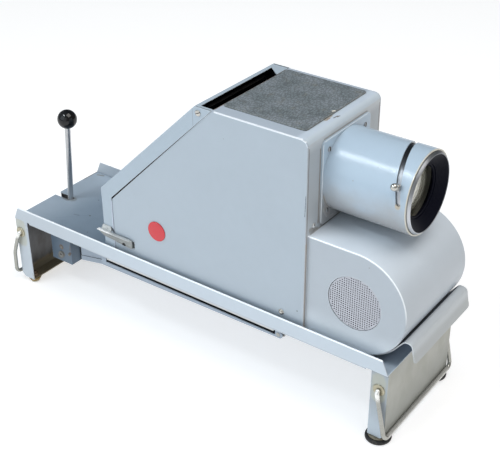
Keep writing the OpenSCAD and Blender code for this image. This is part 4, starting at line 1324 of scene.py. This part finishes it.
# ---------------------------------------------------------------- bails


def half_bail(arm, stub, r1, h1, r2, h2, kink=None):
    """Half of a bail in its own plane: (y, z) points from the stub's end round the top elbow."""
    pts = [(stub, 0.0), ((stub + arm - r1) / 2, 0.0)]
    for k in range(7):
        a = math.pi / 2 * (1 - k / 6)
        pts.append((arm - r1 + r1 * math.cos(a), -r1 + r1 * math.sin(a)))
    return pts


def bails():
    # front: one plane, leaning out by 12.2 degrees
    half = half_bail(94.4, 82.0, 4.0, 0, 9, 0)
    half += [(94.4, z) for z in (-14, -30, -48, -64)]
    for k in range(9):
        a = -math.pi / 2 * k / 8
        half.append((85.4 + 9 * math.cos(a), -65.4 + 9 * math.sin(a)))
    half += [(y, -74.4) for y in (60, 30)]
    full = half + [(0, -74.4)] + [(-y, z) for y, z in reversed(half)]
    t = math.radians(-12.2)
    pts = [(318.9 + z * math.sin(t), y, -29.3 + z * math.cos(t)) for y, z in full]
    bm = bmesh.new()
    sweep(bm, pts, 3.0, 20)
    piece("front_bail_wire", bm, "front_bail", M["chrome"], ("front_bail",), 40)
    # rear: two planes with a soft bend between them
    t1, t2 = math.radians(19.8), math.radians(2.0)
    half = []
    for y, z in half_bail(97.0, 85.0, 3.6, 0, 9, 0) + [(97, -14), (97, -28)]:
        half.append((-322.8 + z * math.sin(t1), y, -23.2 + z * math.cos(t1)))
    knee = Vector((-337.1, 97, -63.0))
    d1 = Vector((-math.sin(t1), 0, -math.cos(t1)))
    d2 = Vector((-math.sin(t2), 0, -math.cos(t2)))
    a, b = knee - d1 * 7, knee + d2 * 7
    for k in range(7):
        s = k / 6
        half.append(tuple(a * (1 - s) ** 2 + knee * (2 * s * (1 - s)) + b * s * s))
    low = [(97, -16), (97, -25)]
    for k in range(9):
        g = -math.pi / 2 * k / 8
        low.append((88 + 9 * math.cos(g), -29.5 + 9 * math.sin(g)))
    low += [(60, -38.5), (30, -38.5)]
    for y, z in low:
        half.append((-337.1 + z * math.sin(t2), y, -63.0 + z * math.cos(t2)))
    mid = (-337.1 - 38.5 * math.sin(t2), 0, -63.0 - 38.5 * math.cos(t2))
    pts = half + [mid] + [(x, -y, z) for x, y, z in reversed(half)]
    bm = bmesh.new()
    sweep(bm, pts, 3.0, 20)
    piece("rear_bail_wire", bm, "rear_bail", M["chrome"], ("rear_bail",), 40)


bails()


def bushes():
    bm = bmesh.new()
    for x, y, z in ((318.9, 88.5, -29.3), (-322.8, 91.5, -23.2)):
        for s in (-1, 1):
            prof = [(3.06, -4.0), (5.4, -4.0), (5.45, 0.0), (8.3, 0.05), (8.6, 0.35), (8.5, 0.9), (8.0, 1.45), (7.0, 1.75), (5.2, 1.72), (4.4, 1.4), (3.7, 1.5), (3.06, 1.2)]
            lathe(bm, prof, (x, s * y, z), (0, s, 0), 48, closed=True)
    piece("leg_bushes_turned", bm, "base", M["bush"], ("leg_bushes",), 40)


bushes()


def feet():
    bm = bmesh.new()
    for s in (-1, 1):
        prof = [(0, 0.9), (11.0, 0.9), (12.0, 0.0), (15.2, 0.0), (16.8, 0.45), (17.7, 1.5), (17.9, 2.8), (17.85, 4.4), (17.4, 5.4), (16.4, 5.95), (14.4, 6.0), (3.2, 6.0), (3.2, 3.2), (0, 3.2)]
        lathe(bm, prof, (318, s * 78.7, -116), (0, 0, 1), 72)
    piece("front_feet_moulded", bm, "base", M["rubber"], ("front_feet",), 40)
    bm = bmesh.new()
    for s in (-1, 1):
        prof = [(3.2, 0), (13.6, 0), (14.0, 0.4), (13.9, 1.2), (13.2, 2.0), (12.6, 2.5), (3.2, 2.5)]
        lathe(bm, prof, (318, s * 78.7, -110), (0, 0, 1), 64, closed=True)
    piece("front_foot_cups_spun", bm, "base", M["cup"], ("front_foot_cups",), 40)
    bm = bmesh.new()
    for s in (-1, 1):
        prof = [(3.05, 0), (6.9, 0), (7.5, 0.3), (7.9, 1.2), (8.3, 2.6), (9.2, 3.7), (9.95, 4.6), (9.95, 5.2), (9.6, 5.5), (3.05, 5.5)]
        lathe(bm, prof, (-314, s * 82.5, -113), (0, 0, 1), 56, closed=True)
    piece("rear_feet_moulded", bm, "base", M["amber"], ("rear_feet",), 40)
    bm = bmesh.new()
    for s in (-1, 1):
        prof = [(0, 0), (5.3, 0.0), (6.1, 0.3), (6.35, 0.9), (6.3, 2.3), (5.9, 2.9), (3.1, 3.0), (3.1, 1.05), (0, 1.05)]
        lathe(bm, prof, (-314, s * 82.5, -116), (0, 0, 1), 48)
    piece("rear_foot_pads_cut", bm, "base", M["pad"], ("rear_foot_pads",), 40)


feet()
restyle("foot_screws", M["rusty"])

# ---------------------------------------------------------------- lever


def lever():
    lean = math.radians(math.degrees(math.atan((302 - 291.3) / 144.3)))
    a = Vector((math.sin(lean), 0, math.cos(lean)))
    foot = Vector((-306.5, 0, -61))
    bm = bmesh.new()
    prof = [(0, 4.0), (3.7, 4.0), (4.3, 4.6), (4.3, 60), (4.3, 120), (4.3, 188), (3.9, 193.5), (3.4, 199.6), (0, 199.9)]
    lathe(bm, prof, foot, a, 40)
    piece("lever_rod_turned", bm, "lever", M["rod"], ("lever_rod",), 40)
    bm = bmesh.new()
    prof = [(3.45, -9.0), (3.45, -14.0), (5.1, -14.0), (5.9, -13.8)]
    n = 40
    start = math.atan2(-13.8, 5.9)
    for k in range(n):
        t = start + (math.pi / 2 - start) * k / n
        prof.append((15 * math.cos(t), 15 * math.sin(t)))
    prof.append((0, 15.0))
    prof.insert(0, (0, -9.0))
    lathe(bm, prof, foot + a * 205.9, a, 72)
    piece("lever_knob_ball", bm, "lever", M["knob"], ("lever_knob",), 50, weighted=False)


lever()


def shaft_material():
    """Steel with a dark centre hole and a dirty rim at each end."""
    m = Mat("steel_shaft")
    x, y, z = m.xyz
    r = ((x + 270.5) * (x + 270.5) + (z + 61.0) * (z + 61.0)).pow(0.5)
    end = y.abs().step(61.6, 61.9)
    cc = m.mix(m.noise(5, 4, 0.7).step(0.35, 0.7), c(148, 150, 148), c(120, 118, 110))
    dark = r.step(2.2, 1.6).max(r.step(3.9, 4.5))
    cc = m.mix(end * dark, cc, c(66, 66, 66))
    return m.done(cc, 0.4, 0.6)


refined("lever_shaft", "lever", shaft_material(), small=0.3)
for n in ("lever_arm", "cam_rollers"):
    refined(n, "lever", M["steel"], small=0.3)


# ---------------------------------------------------------------- lens tube


def slot_x(a):
    return 302.8 - 0.2 * (a + 63.5)


def lens_tube():
    r = 55.0
    k = math.pi / 180 * r  # millimetres of arc for a degree
    # slot outline on the unrolled tube, in (arc, x)
    a0, a1, w = -83.6, 80.0, 3.15
    way = Vector((k, -0.2)).normalized()
    side = Vector((-way.y, way.x))
    left, right = [], []
    for i in range(61):
        a = a0 + (a1 - a0) * i / 60
        p = Vector((a * k, slot_x(a)))
        left.append(p + side * w)
        right.append(p - side * w)

    def cap(p, d0):
        return [p + Vector((math.cos(d0 + t), math.sin(d0 + t))) * w for t in [math.pi * j / 8 for j in range(1, 8)]]

    ang = math.atan2(side.y, side.x)
    outline_slot = right + cap(Vector((a1 * k, slot_x(a1))), ang - math.pi) + left[::-1] + cap(Vector((a0 * k, slot_x(a0))), ang)
    x0, x1 = 203.0, 317.5
    span = 180 * k
    top = [(-span + 2 * span * i / 120, x1) for i in range(121)]
    bot = [(-span + 2 * span * i / 120, x0) for i in range(121)]
    outline = bot + [(span, x0 + (x1 - x0) * j / 10) for j in range(1, 10)] + top[::-1] + [(-span, x1 - (x1 - x0) * j / 10) for j in range(1, 10)]
    extra = [(-span + 2 * span * i / 120, x0 + (x1 - x0) * j / 10) for i in range(1, 120) for j in range(1, 10)]

    def clear(p):
        a = p[0] / k
        if not a0 - 6 < a < a1 + 6:
            return True
        return abs(p[1] - slot_x(max(a0, min(a1, a)))) > w + 1.2

    extra = [p for p in extra if clear(p)]
    vs, fs = flat_mesh(outline, [outline_slot], extra)
    bm = bmesh.new()
    made = [bm.verts.new((p.y, r * math.sin(p.x / r), AXIS_Z + r * math.cos(p.x / r))) for p in vs]
    for f in fs:
        bm.faces.new([made[i] for i in f])
    bmesh.ops.remove_doubles(bm, verts=bm.verts, dist=0.01)
    loose = [v for v in bm.verts if not v.link_faces]
    bmesh.ops.delete(bm, geom=loose, context="VERTS")
    bmesh.ops.recalc_face_normals(bm, faces=bm.faces)
    f = max(bm.faces, key=lambda q: q.calc_center_median().z)
    if f.normal.z < 0:
        bmesh.ops.reverse_faces(bm, faces=bm.faces)
    tube = piece("lens_tube_rolled", bm, "base", M["tube"], ("lens_tube",), 40, weighted=False, normals=False)
    thick(tube, 2.1, -1.0)
    with_bevel(tube, 0.3, 2, 50)
    shaded(tube, 38)
    # the square flange
    out = rounded([(-55.8, -59.2), (55.8, -59.2), (55.8, 56.3), (-55.8, 56.3)], 6.5, 8)
    bm = bmesh.new()
    levels = [(0.0, 0.0), (2.3, 0.0), (2.7, 0.12), (2.93, 0.4), (3.0, 0.7)]
    rings = []
    for t, d in levels:
        rings.append([bm.verts.new((200.5 + t, p.x * (1 - d / 55.8), AXIS_Z + (p.y + 1.45) * (1 - d / 57.75) - 1.45)) for p in out])
    n = len(out)
    for a, b in zip(rings, rings[1:]):
        for i in range(n):
            bm.faces.new((a[i], a[(i + 1) % n], b[(i + 1) % n], b[i]))
    m = 72
    bore = [[bm.verts.new((200.5 + t, 53 * math.cos(2 * math.pi * i / m), AXIS_Z + 53 * math.sin(2 * math.pi * i / m))) for i in range(m)] for t in (3.0, 0.0)]
    for i in range(m):
        bm.faces.new((bore[0][i], bore[0][(i + 1) % m], bore[1][(i + 1) % m], bore[1][i]))
    for loop_o, loop_i in ((rings[-1], bore[0]), (rings[0], bore[1])):
        vs, fs = flat_mesh([(v.co.y, v.co.z) for v in loop_o], [[(v.co.y, v.co.z) for v in loop_i]])
        src = [*loop_o, *loop_i]
        for f in fs:
            bm.faces.new([src[i] for i in f])
    piece("lens_flange_plate", bm, "base", M["tube"], (), 35)


lens_tube()


def slotted(name, centre, axis, r, h, dome, slot_dir, slot_w, slot_d, body, mat, replaces=(), shank=0.0, n=40):
    """A screw head with a sawn slot."""
    a, u, w = frame_of(axis)
    bm = bmesh.new()
    prof = ([(0, -shank), (r * 0.55, -shank), (r * 0.55, 0.0)] if shank else [(0, 0.0)]) + [(r * 0.96, 0.0), (r, 0.15), (r, h - dome)]
    for k in range(1, 6):
        t = math.pi / 2 * k / 6
        prof.append((r * math.cos(t) if dome else r, h - dome + dome * math.sin(t)))
    prof.append((0, h))
    lathe(bm, prof, centre, axis, n)
    ob = piece(name, bm, body, mat, replaces, 40)
    d = Vector(slot_dir).normalized()
    s = a.cross(d)
    o = Vector(centre) + a * (h - slot_d)
    cb = bmesh.new()
    vs = [cb.verts.new(o + d * (x * r * 1.3) + s * (y * slot_w / 2) + a * z) for z in (0, h + 1) for x, y in ((-1, -1), (1, -1), (1, 1), (-1, 1))]
    for f in ((0, 1, 2, 3), (4, 5, 6, 7), (0, 1, 5, 4), (1, 2, 6, 5), (2, 3, 7, 6), (3, 0, 4, 7)):
        cb.faces.new([vs[i] for i in f])
    cut(ob, cb)
    ob.data.materials.append(SLOT_DARK)
    o2 = to_row(o + a * 0.02)
    for p in ob.data.polygons:
        q = (p.center - o2)
        if q.dot(a) * 1000 < slot_d - 0.12 and abs(q.dot(s)) * 1000 < slot_w / 2 + 0.04 and q.dot(a) > -0.0001:
            p.material_index = 1
    shaded(ob, 35)
    return ob


SLOT_DARK = enamel("slot_grime", c(58, 44, 34), 0.8, dust=0.3)
flange_screw = paint("paint_screw", base=c(156, 160, 164), wear_and_highlight=0.3, grime_and_shade=0.7, chips=0.4, edge_col=c(170, 168, 160))
first = True
for sy in (-1, 1):
    for sz in (-1, 1):
        nm = "flange_screw_%s%s" % ("near" if sy < 0 else "far", "_low" if sz < 0 else "_high")
        slotted(nm, (203.5, sy * 42.3, AXIS_Z + sz * 42.3), (1, 0, 0), 3.4, 1.3, 0.5, (0, 0.12 * sy, 1), 1.7, 1.15,
                "base", flange_screw, ("lens_tube_screws",) if first else (), n=32)
        first = False

# ---------------------------------------------------------------- lens


def lens():
    o = (0, 0, AXIS_Z)
    ax = (1, 0, 0)
    bm = bmesh.new()
    prof = [(49.4, 238.3), (49.7, 238.0), (52.0, 238.0), (52.3, 238.3), (52.3, 318.3), (52.15, 318.7), (50.6, 321.0), (50.2, 321.35), (49.7, 321.4), (49.4, 321.1)]
    lathe(bm, prof, o, ax, 160, closed=True)
    ob = piece("lens_barrel_turned", bm, "lens_barrel", M["barrel"], ("lens_barrel",), 30)
    # fine steps inside the black hood ring
    prof = [(49.38, 320.6), (49.38, 314.0), (44.5, 306.7), (33.0, 306.6), (32.4, 307.2), (32.4, 308.6), (32.6, 309.0), (33.0, 309.2), (35.0, 309.4), (35.1, 310.2)]
    steps = 9
    for i in range(steps):
        t0, t1 = i / steps, (i + 1) / steps
        r0, r1 = 35.2 + 13.4 * t0, 35.2 + 13.4 * t1
        x0, x1 = 310.6 + 10.0 * t0, 310.6 + 10.0 * t1
        prof += [(r0 + 0.05, x0 + (x1 - x0) * 0.18), (r1, x0 + (x1 - x0) * 0.86)]
        if i < steps - 1:
            prof += [(r1 + 0.02, x1)]
    prof += [(48.6, 320.5), (48.9, 320.65)]
    bm = bmesh.new()
    lathe(bm, prof, o, ax, 128, closed=True)
    piece("lens_hood_ring_stepped", bm, "lens_barrel", M["ring"], ("lens_hood_ring",), 35)
    bm = bmesh.new()
    prof = [(45.0, 236), (48.6, 236), (48.8, 236.3), (48.8, 305.5), (48.5, 305.8), (44.6, 305.8), (44.2, 305.5), (43.4, 303.6), (41.0, 302.8), (40.7, 302.4), (40.7, 301.4), (41.0, 301.1), (45.0, 301.0)]
    for i in range(20):
        x = 300 - i * 2.2
        prof += [(45.0, x), (45.35, x - 0.5), (45.35, x - 1.3), (45.0, x - 1.8)]
    lathe(bm, prof, o, ax, 96, closed=True)
    ob = piece("lens_cell_turned", bm, "lens_cell", [M["ring"], M["cell"]], ("lens_cell",), 35)
    for p in ob.data.polygons:
        q = Vector((0, p.center.y, p.center.z - (AXIS_Z + FZ) / 1000))
        if p.center.x * 1000 + FX < 301.2 and q.length * 1000 < 46 and q.dot(p.normal) < 0:
            p.material_index = 1
    # focusing pin: shank, collar and ball head
    t = math.radians(-63.5)
    d = (0, math.sin(t), math.cos(t))
    bm = bmesh.new()
    prof = [(0, 50.2), (2.8, 50.2), (2.8, 59.6), (3.2, 59.9), (3.3, 60.6), (2.9, 61.0), (2.7, 61.5), (2.7, 62.6)]
    for k in range(1, 14):
        g = -1.02 + (math.pi / 2 + 1.02) * k / 13
        prof.append((4.7 * math.cos(g) if k < 13 else 0, 66.5 + 4.7 * math.sin(g)))
    lathe(bm, prof, (302.8, 0, AXIS_Z), d, 40)
    piece("focus_pin_turned", bm, "lens_barrel", M["screw"], ("focus_pin",), 35)
    # square nut under the ball head
    side = Vector((1, 0, 0))
    dv = Vector(d)
    over = dv.cross(side)
    bm = bmesh.new()
    rows = []
    for h, q in ((57.0, 3.9), (57.3, 4.2), (60.0, 4.2), (60.4, 3.8)):
        row = []
        for p in rounded([(-q, -q), (q, -q), (q, q), (-q, q)], 0.8, 3):
            row.append(bm.verts.new(Vector((302.8, 0, AXIS_Z)) + dv * h + side * p.x + over * p.y))
        rows.append(row)
    for a, b in zip(rows, rows[1:]):
        for k in range(len(a)):
            bm.faces.new((a[k], a[(k + 1) % len(a)], b[(k + 1) % len(a)], b[k]))
    bm.faces.new(rows[0])
    bm.faces.new(rows[-1])
    piece("focus_pin_nut", bm, "lens_barrel", M["rod"], (), 30)
    # glass elements, smooth on both faces
    for name, x, flip, node in (("front_lens_ground", 294.6, 1, "front_lens"), ("rear_lens_ground", 249.0, -1, "rear_lens")):
        bm = bmesh.new()
        prof = []
        n = 14
        big = 110.0
        apex = 10.0
        rim = big - math.sqrt(big * big - 44.9 ** 2)
        for k in range(n + 1):
            rr = 44.9 * k / n
            prof.append((rr, apex - (big - math.sqrt(big * big - rr * rr))))
        prof += [(44.9, apex - rim - 0.4), (44.9, -2.6)]
        for k in range(n, -1, -1):
            rr = 44.5 * k / n
            prof.append((rr, -3.0))
        lathe(bm, prof, (x, 0, AXIS_Z), (flip, 0, 0), 96)
        piece(name, bm, "lens_cell", M["lens"], (node,), 35)


lens()

# ---------------------------------------------------------------- blower


def blower():
    """Rolled casing with softly rounded side edges, open towards the housing."""

    def outline(d, n=96):
        """Points of the casing's outline, d inside it, from the top rear corner round the front to the bottom rear corner."""
        r = BR - d
        pts = [(200.5 + (BX - 200.5) * k / 8, BZ + r) for k in range(8)]
        pts += [(BX + r * math.sin(math.pi * k / n), BZ + r * math.cos(math.pi * k / n)) for k in range(n + 1)]
        pts += [(BX - (BX - 200.5) * k / 8, BZ - r) for k in range(1, 9)]
        return pts

    hole = 38.1
    rr = 2.4
    bm = bmesh.new()
    loops = []
    steps = 6
    q = rr + 0.7
    stations = [(-BY, q)] + [(-BY + rr - rr * math.sin(math.pi / 2 * k / steps), rr - rr * math.cos(math.pi / 2 * k / steps)) for k in range(steps, -1, -1)]
    stations += [(y, 0.0) for y in (-60, -40, -20, 0, 20, 40, 60)]
    stations += [(BY - rr + rr * math.sin(math.pi / 2 * k / steps), rr - rr * math.cos(math.pi / 2 * k / steps)) for k in range(0, steps + 1)] + [(BY, q)]
    for y, d in stations:
        loops.append([bm.verts.new((x, y, z)) for x, z in outline(d)])
    for a, b in zip(loops, loops[1:]):
        for k in range(len(a) - 1):
            bm.faces.new((a[k], a[k + 1], b[k + 1], b[k]))
    for loop, y in ((loops[0], -BY), (loops[-1], BY)):
        rear = [bm.verts.new((200.5, y, BZ + (BR - q) - 2 * (BR - q) * k / 6)) for k in range(1, 6)]
        ring = loop + rear[::-1]
        circ = [bm.verts.new((x, y, z)) for x, z in circle(BX, BZ, hole, 96)]
        vs, fs = flat_mesh([(v.co.x, v.co.z) for v in ring], [[(v.co.x, v.co.z) for v in circ]])
        src = [*ring, *circ]
        for f in fs:
            try:
                bm.faces.new([src[i] for i in f])
            except ValueError:
                pass
    bmesh.ops.recalc_face_normals(bm, faces=bm.faces)
    f = max(bm.faces, key=lambda q: q.calc_center_median().x)
    if f.normal.x < 0:
        bmesh.ops.reverse_faces(bm, faces=bm.faces)
    ob = piece("blower_casing", bm, "base", M["blower"], ("blower_shell",), 40, weighted=False, normals=False)
    thick(ob, 1.2, -1.0)
    shaded(ob, 38)
    # a square opening in the flange that joins it to the housing
    bm = bmesh.new()
    big = [(-79.6, BZ - 71.6), (79.6, BZ - 71.6), (79.6, BZ + 71.6), (-79.6, BZ + 71.6)]
    small = rounded([(-68, 20), (68, 20), (68, 138), (-68, 138)], 5, 5)
    vs, fs = flat_mesh(big, [small])
    vv = [bm.verts.new((200.6, p.x, p.y)) for p in vs]
    for f in fs:
        bm.faces.new([vv[i] for i in f])
    ob = piece("blower_flange", bm, "base", M["inside"], (), 40, weighted=False)
    thick(ob, 1.1, 1.0 if ob.data.polygons[0].normal.x > 0 else -1.0)
    # perforated grilles
    pitch, rh = 3.2, 0.98
    holes = []
    n = int(36.2 / pitch) + 1
    for i in range(-n, n + 1):
        for j in range(-n, n + 1):
            px, pz = i * pitch, j * pitch
            if math.hypot(px, pz) < 36.2:
                holes.append(circle(BX + px, BZ + pz, rh, 8, math.pi / 8))
    vs, fs = flat_mesh(circle(BX, BZ, 37.5, 96), holes)
    first = True
    for s in (-1, 1):
        bm = bmesh.new()
        vv = [bm.verts.new((p.x, s * (BY - 1.0), p.y)) for p in vs]
        for f in fs:
            bm.faces.new([vv[i] for i in f])
        loose = [v for v in bm.verts if not v.link_faces]
        bmesh.ops.delete(bm, geom=loose, context="VERTS")
        bmesh.ops.recalc_face_normals(bm, faces=bm.faces)
        bm.faces.ensure_lookup_table()
        if bm.faces[0].normal.y * s < 0:
            bmesh.ops.reverse_faces(bm, faces=bm.faces)
        ob = piece("blower_grille_" + ("near" if s < 0 else "far"), bm, "base", M["grille"], ("blower_grilles",) if first else (), 40, weighted=False, normals=False)
        thick(ob, 0.8, -1.0)
        shaded(ob, 38, weighted=False)
        first = False


blower()
refined("blower_motor", "base", M["motor"], small=1.0)
refined("motor_bracket", "base", M["steel"], small=0.4)
restyle("fan_shaft", M["steel"])
restyle("impellers", M["aluminium"])

# ---------------------------------------------------------------- trim and screws


def top_mat():
    out = rounded([(60, -66), (184.5, -66), (184.5, 77), (60, 77)], 5, 8)
    bm = bmesh.new()
    rings = []
    cx, cy = 122.25, 5.5
    for z, d in ((284.0, 0.15), (284.4, 0.0), (285.4, 0.0), (285.85, 0.25), (286.0, 0.8)):
        rings.append([bm.verts.new((cx + (p.x - cx) * (1 - d / 62), cy + (p.y - cy) * (1 - d / 71), z)) for p in out])
    n = len(out)
    for a, b in zip(rings, rings[1:]):
        for i in range(n):
            bm.faces.new((a[i], a[(i + 1) % n], b[(i + 1) % n], b[i]))
    bm.faces.new(rings[0])
    bm.faces.new(rings[-1])
    piece("top_mat_sheet", bm, "base", M["mat"], ("top_mat",), 40)


top_mat()


def badge():
    bm = bmesh.new()
    prof = [(0, 0.0), (14.9, 0.0), (15.0, 0.15), (15.0, 1.0), (14.75, 1.35), (14.2, 1.42), (13.7, 1.25), (13.3, 1.22), (12.9, 1.36)]
    for k in range(1, 8):
        r = 12.9 * (1 - k / 7)
        prof.append((r, 1.36 + 0.24 * (1 - (r / 12.9) ** 2)))
    lathe(bm, prof, (-43.4, -85.7, 74.3), (0, -1, 0), 72)
    piece("badge_disc", bm, "base", M["badge"], ("badge",), 35)


badge()


def small_screws():
    # domed pins low on both sides
    bm = bmesh.new()
    for s in (-1, 1):
        prof = [(0, 0), (4.0, 0), (4.15, 0.2), (4.1, 0.7), (3.6, 1.05), (3.35, 1.1)]
        for k in range(1, 9):
            t = 0.9 * (1 - k / 8)
            prof.append((4.4 * math.sin(t) if k < 8 else 0, 1.1 + 4.4 * (math.cos(t) - math.cos(0.9)) * 1.25))
        lathe(bm, prof, (166.6, s * 85.7, 26.4), (0, s, 0), 40)
    piece("housing_pins_domed", bm, "base", M["screw"], ("body_screws",), 35)
    for s, nm in ((-1, "near"), (1, "far")):
        slotted("front_screw_" + nm, (200.5, s * 67.6, 161), (1, 0, 0), 3.1, 1.6, 0.9, (0, 0.6 * s, 1), 0.8, 0.8, "base", M["bright"])
        slotted("hood_pivot_screw_" + nm, (37.4, s * 87.0, 276.2), (0, s, 0), 4.2, 1.4, 0.8, (0.9, 0, 0.42), 0.95, 0.8, "base", M["screw"],
                ("hood_pivot_screws",) if s < 0 else ())
    bm = bmesh.new()
    for s in (-1, 1):
        # lever bracket: two rivet heads on each side
        lathe(bm, [(0, 0), (2.6, 0), (2.6, 0.35), (2.2, 0.8), (1.2, 1.1), (0, 1.15)], (-269.5, s * 60.05, -47.6), (0, s, 0), 28)
        lathe(bm, [(0, 0), (2.2, 0), (2.2, 0.35), (1.8, 0.75), (0.9, 0.95), (0, 1.0)], (-254, s * 60.05, -56.7), (0, s, 0), 28)
    piece("bracket_rivets", bm, "base", metal("rivet_dull", c(132, 130, 124), 0.45, tarnish=0.5, tint=c(84, 72, 60), metallic=0.3), (), 35)


small_screws()
restyle("latch_pin", M["steel"])

# ---------------------------------------------------------------- stage, mirror, lamp

refined("stage_glass", "base", M["glass"], small=0.3)
refined("stage_glass_frame", "base", M["black"], small=0.5)
refined("front_mirror", "base", [M["mirror"], M["inside"]], small=0.5, face_mat=lambda f: 0 if f.normal.x > 0.6 and f.normal.z < -0.6 else 1)
refined("mirror_frame", "base", M["black"], small=0.4)
refined("heat_glass", "base", M["heat"], small=0.4)
refined("light_baffle", "base", M["black"], small=0.2)
refined("lamp_socket", "base", M["ceramic"], small=0.8)
refined("lamp_reflector", "base", M["aluminium"], small=0.2)
restyle("carrier_hinge_ears", M["steel"])
restyle("carrier_hinge_pins", M["steel"])
restyle("leaf_springs", M["steel"])


def lamp():
    bm = bmesh.new()
    prof = [(0, 33.5), (10.9, 33.5), (11, 34), (11, 47), (11.6, 49.5), (14, 53.5), (17.5, 57), (19.6, 60.5), (20, 64)]
    prof += [(20, 80), (20, 108)]
    for k in range(1, 11):
        t = math.pi / 2 * k / 10
        prof.append((20 * math.cos(t) if k < 10 else 0, 110.5 + 20 * math.sin(t)))
    lathe(bm, prof, (140, 0, 0), (0, 0, 1), 64)
    piece("lamp_bulb_blown", bm, "base", M["glass"], ("lamp_glass",), 40)
    bm = bmesh.new()
    prof = [(0, 6.5), (5.0, 6.5), (5.4, 7.4), (12.4, 7.6), (13.2, 8.2)]
    for i in range(7):
        z = 10 + i * 2.9
        prof += [(13.35, z), (12.5, z + 0.9), (12.5, z + 1.6), (13.35, z + 2.4)]
    prof += [(13.3, 32.0), (12.6, 33.4), (0, 33.45)]
    lathe(bm, prof, (140, 0, 0), (0, 0, 1), 64)
    piece("lamp_base_threaded", bm, "base", M["brass"], ("lamp_base",), 35)


lamp()

# ---------------------------------------------------------------- mains side

refined("mains_inlet", "base", M["moulding"], small=0.5)
refined("power_switch", "base", M["moulding"], small=0.5)
refined("switch_rocker", "rocker", M["moulding"], small=0.5)


def inlet_pins():
    bm = bmesh.new()
    for x, z in ((123.5, 32.5), (136.5, 32.5), (130, 36.5)):
        prof = [(0, 0), (2.0, 0), (2.0, 9.0), (1.6, 10.0), (0.8, 10.5), (0, 10.6)]
        lathe(bm, prof, (x, 74.6, z), (0, 1, 0), 24)
    piece("inlet_pins", bm, "base", M["brass"], (), 35)


inlet_pins()

# ---------------------------------------------------------------- floor, light, camera


def stage():
    bm = bmesh.new()
    s = 14.0
    vs = [bm.verts.new((x * s, y * s, 0)) for x, y in ((-1, -1), (1, -1), (1, 1), (-1, 1))]
    bm.faces.new(vs)
    me = bpy.data.meshes.new("floor")
    bm.to_mesh(me)
    bm.free()
    ob = place(bpy.data.objects.new("floor", me))
    m = Mat("floor_pale")
    cc = m.mul((0.60, 0.60, 0.60), (m.noise(600, 2) - 0.5) * 0.01 + 1.0)
    me.materials.append(m.done(cc, 0.9, 0.0, Specular_IOR_Level=0.1, Emission_Color=(1, 1, 1, 1), Emission_Strength=0.59))


stage()


def area(name, az, el, dist, size, energy, color, target=(0.0, 0.0, 0.16), size_y=None):
    a, e = math.radians(az), math.radians(el)
    back = Vector((math.sin(a) * math.cos(e), -math.cos(a) * math.cos(e), math.sin(e)))
    lt = bpy.data.lights.new(name, "AREA")
    lt.shape = "RECTANGLE"
    lt.size = size
    lt.size_y = size_y or size
    lt.energy = energy
    lt.color = color
    ob = place(bpy.data.objects.new(name, lt))
    ob.location = Vector(target) + back * dist
    ob.rotation_euler = (-back).to_track_quat("-Z", "Y").to_euler()
    return ob


area("window", -28, 28, 2.8, 2.0, 12.3, (0.84, 0.93, 1.0))
area("strip", -31, 57, 2.6, 1.0, 16.0, (0.90, 0.96, 1.0), size_y=0.22)
area("front_fill", 10, 22, 3.2, 2.4, 10.6, (0.92, 0.955, 0.985))
area("right_soft", 96, 69, 2.8, 2.0, 43, (1.0, 0.965, 0.93))


def sky():
    """Soft surround: brighter in front and to the right, dark behind."""
    w = bpy.data.worlds.new("studio")
    w.use_nodes = True
    nt = w.node_tree
    bg = nt.nodes["Background"]
    tc = nt.nodes.new("ShaderNodeTexCoord")
    sp = nt.nodes.new("ShaderNodeSeparateXYZ")
    nt.links.new(tc.outputs["Generated"], sp.inputs[0])
    back = E(nt, sp.outputs[1]).step(-0.35, 0.55)
    side = E(nt, sp.outputs[0]).step(-0.2, 0.9)
    n = nt.nodes.new("ShaderNodeMix")
    n.data_type = "RGBA"
    nt.links.new(back.k, n.inputs[0])
    n.inputs[6].default_value = (0.46, 0.52, 0.575, 1)
    n.inputs[7].default_value = (0.13, 0.15, 0.175, 1)
    n2 = nt.nodes.new("ShaderNodeMix")
    n2.data_type = "RGBA"
    nt.links.new((side * 0.7).k, n2.inputs[0])
    nt.links.new(n.outputs[2], n2.inputs[6])
    n2.inputs[7].default_value = (0.34, 0.305, 0.265, 1)
    nt.links.new(n2.outputs[2], bg.inputs[0])
    bg.inputs[1].default_value = 0.80
    bpy.context.scene.world = w


sky()
bpy.context.scene.view_settings.view_transform = "Standard"
bpy.context.scene.view_settings.look = "None"


def camera():
    yaw, pitch, roll = (math.radians(v) for v in (34.85, 30.87, 0.47))
    back = Vector((math.sin(yaw) * math.cos(pitch), -math.cos(yaw) * math.cos(pitch), math.sin(pitch)))
    right = (-back).cross(Vector((0, 0, 1))).normalized()
    up = right.cross(-back)
    rr = right * math.cos(roll) + up * math.sin(roll)
    uu = -right * math.sin(roll) + up * math.cos(roll)
    cam = bpy.data.cameras.new("camera")
    cam.sensor_width = 36
    cam.lens = 1021.51 / 500 * 36
    cam.shift_x = -(268.99 - 250) / 500
    cam.shift_y = (221.73 - 232.5) / 500
    cam.clip_start, cam.clip_end = 0.05, 50
    ob = place(bpy.data.objects.new("camera", cam))
    ob.matrix_world = Matrix((
        (rr.x, uu.x, back.x, 0), (rr.y, uu.y, back.y, 0), (rr.z, uu.z, back.z, 0), (0, 0, 0, 1)))
    ob.location = to_row((773.70, -987.57, 812.88))
    bpy.context.scene.camera = ob


camera()
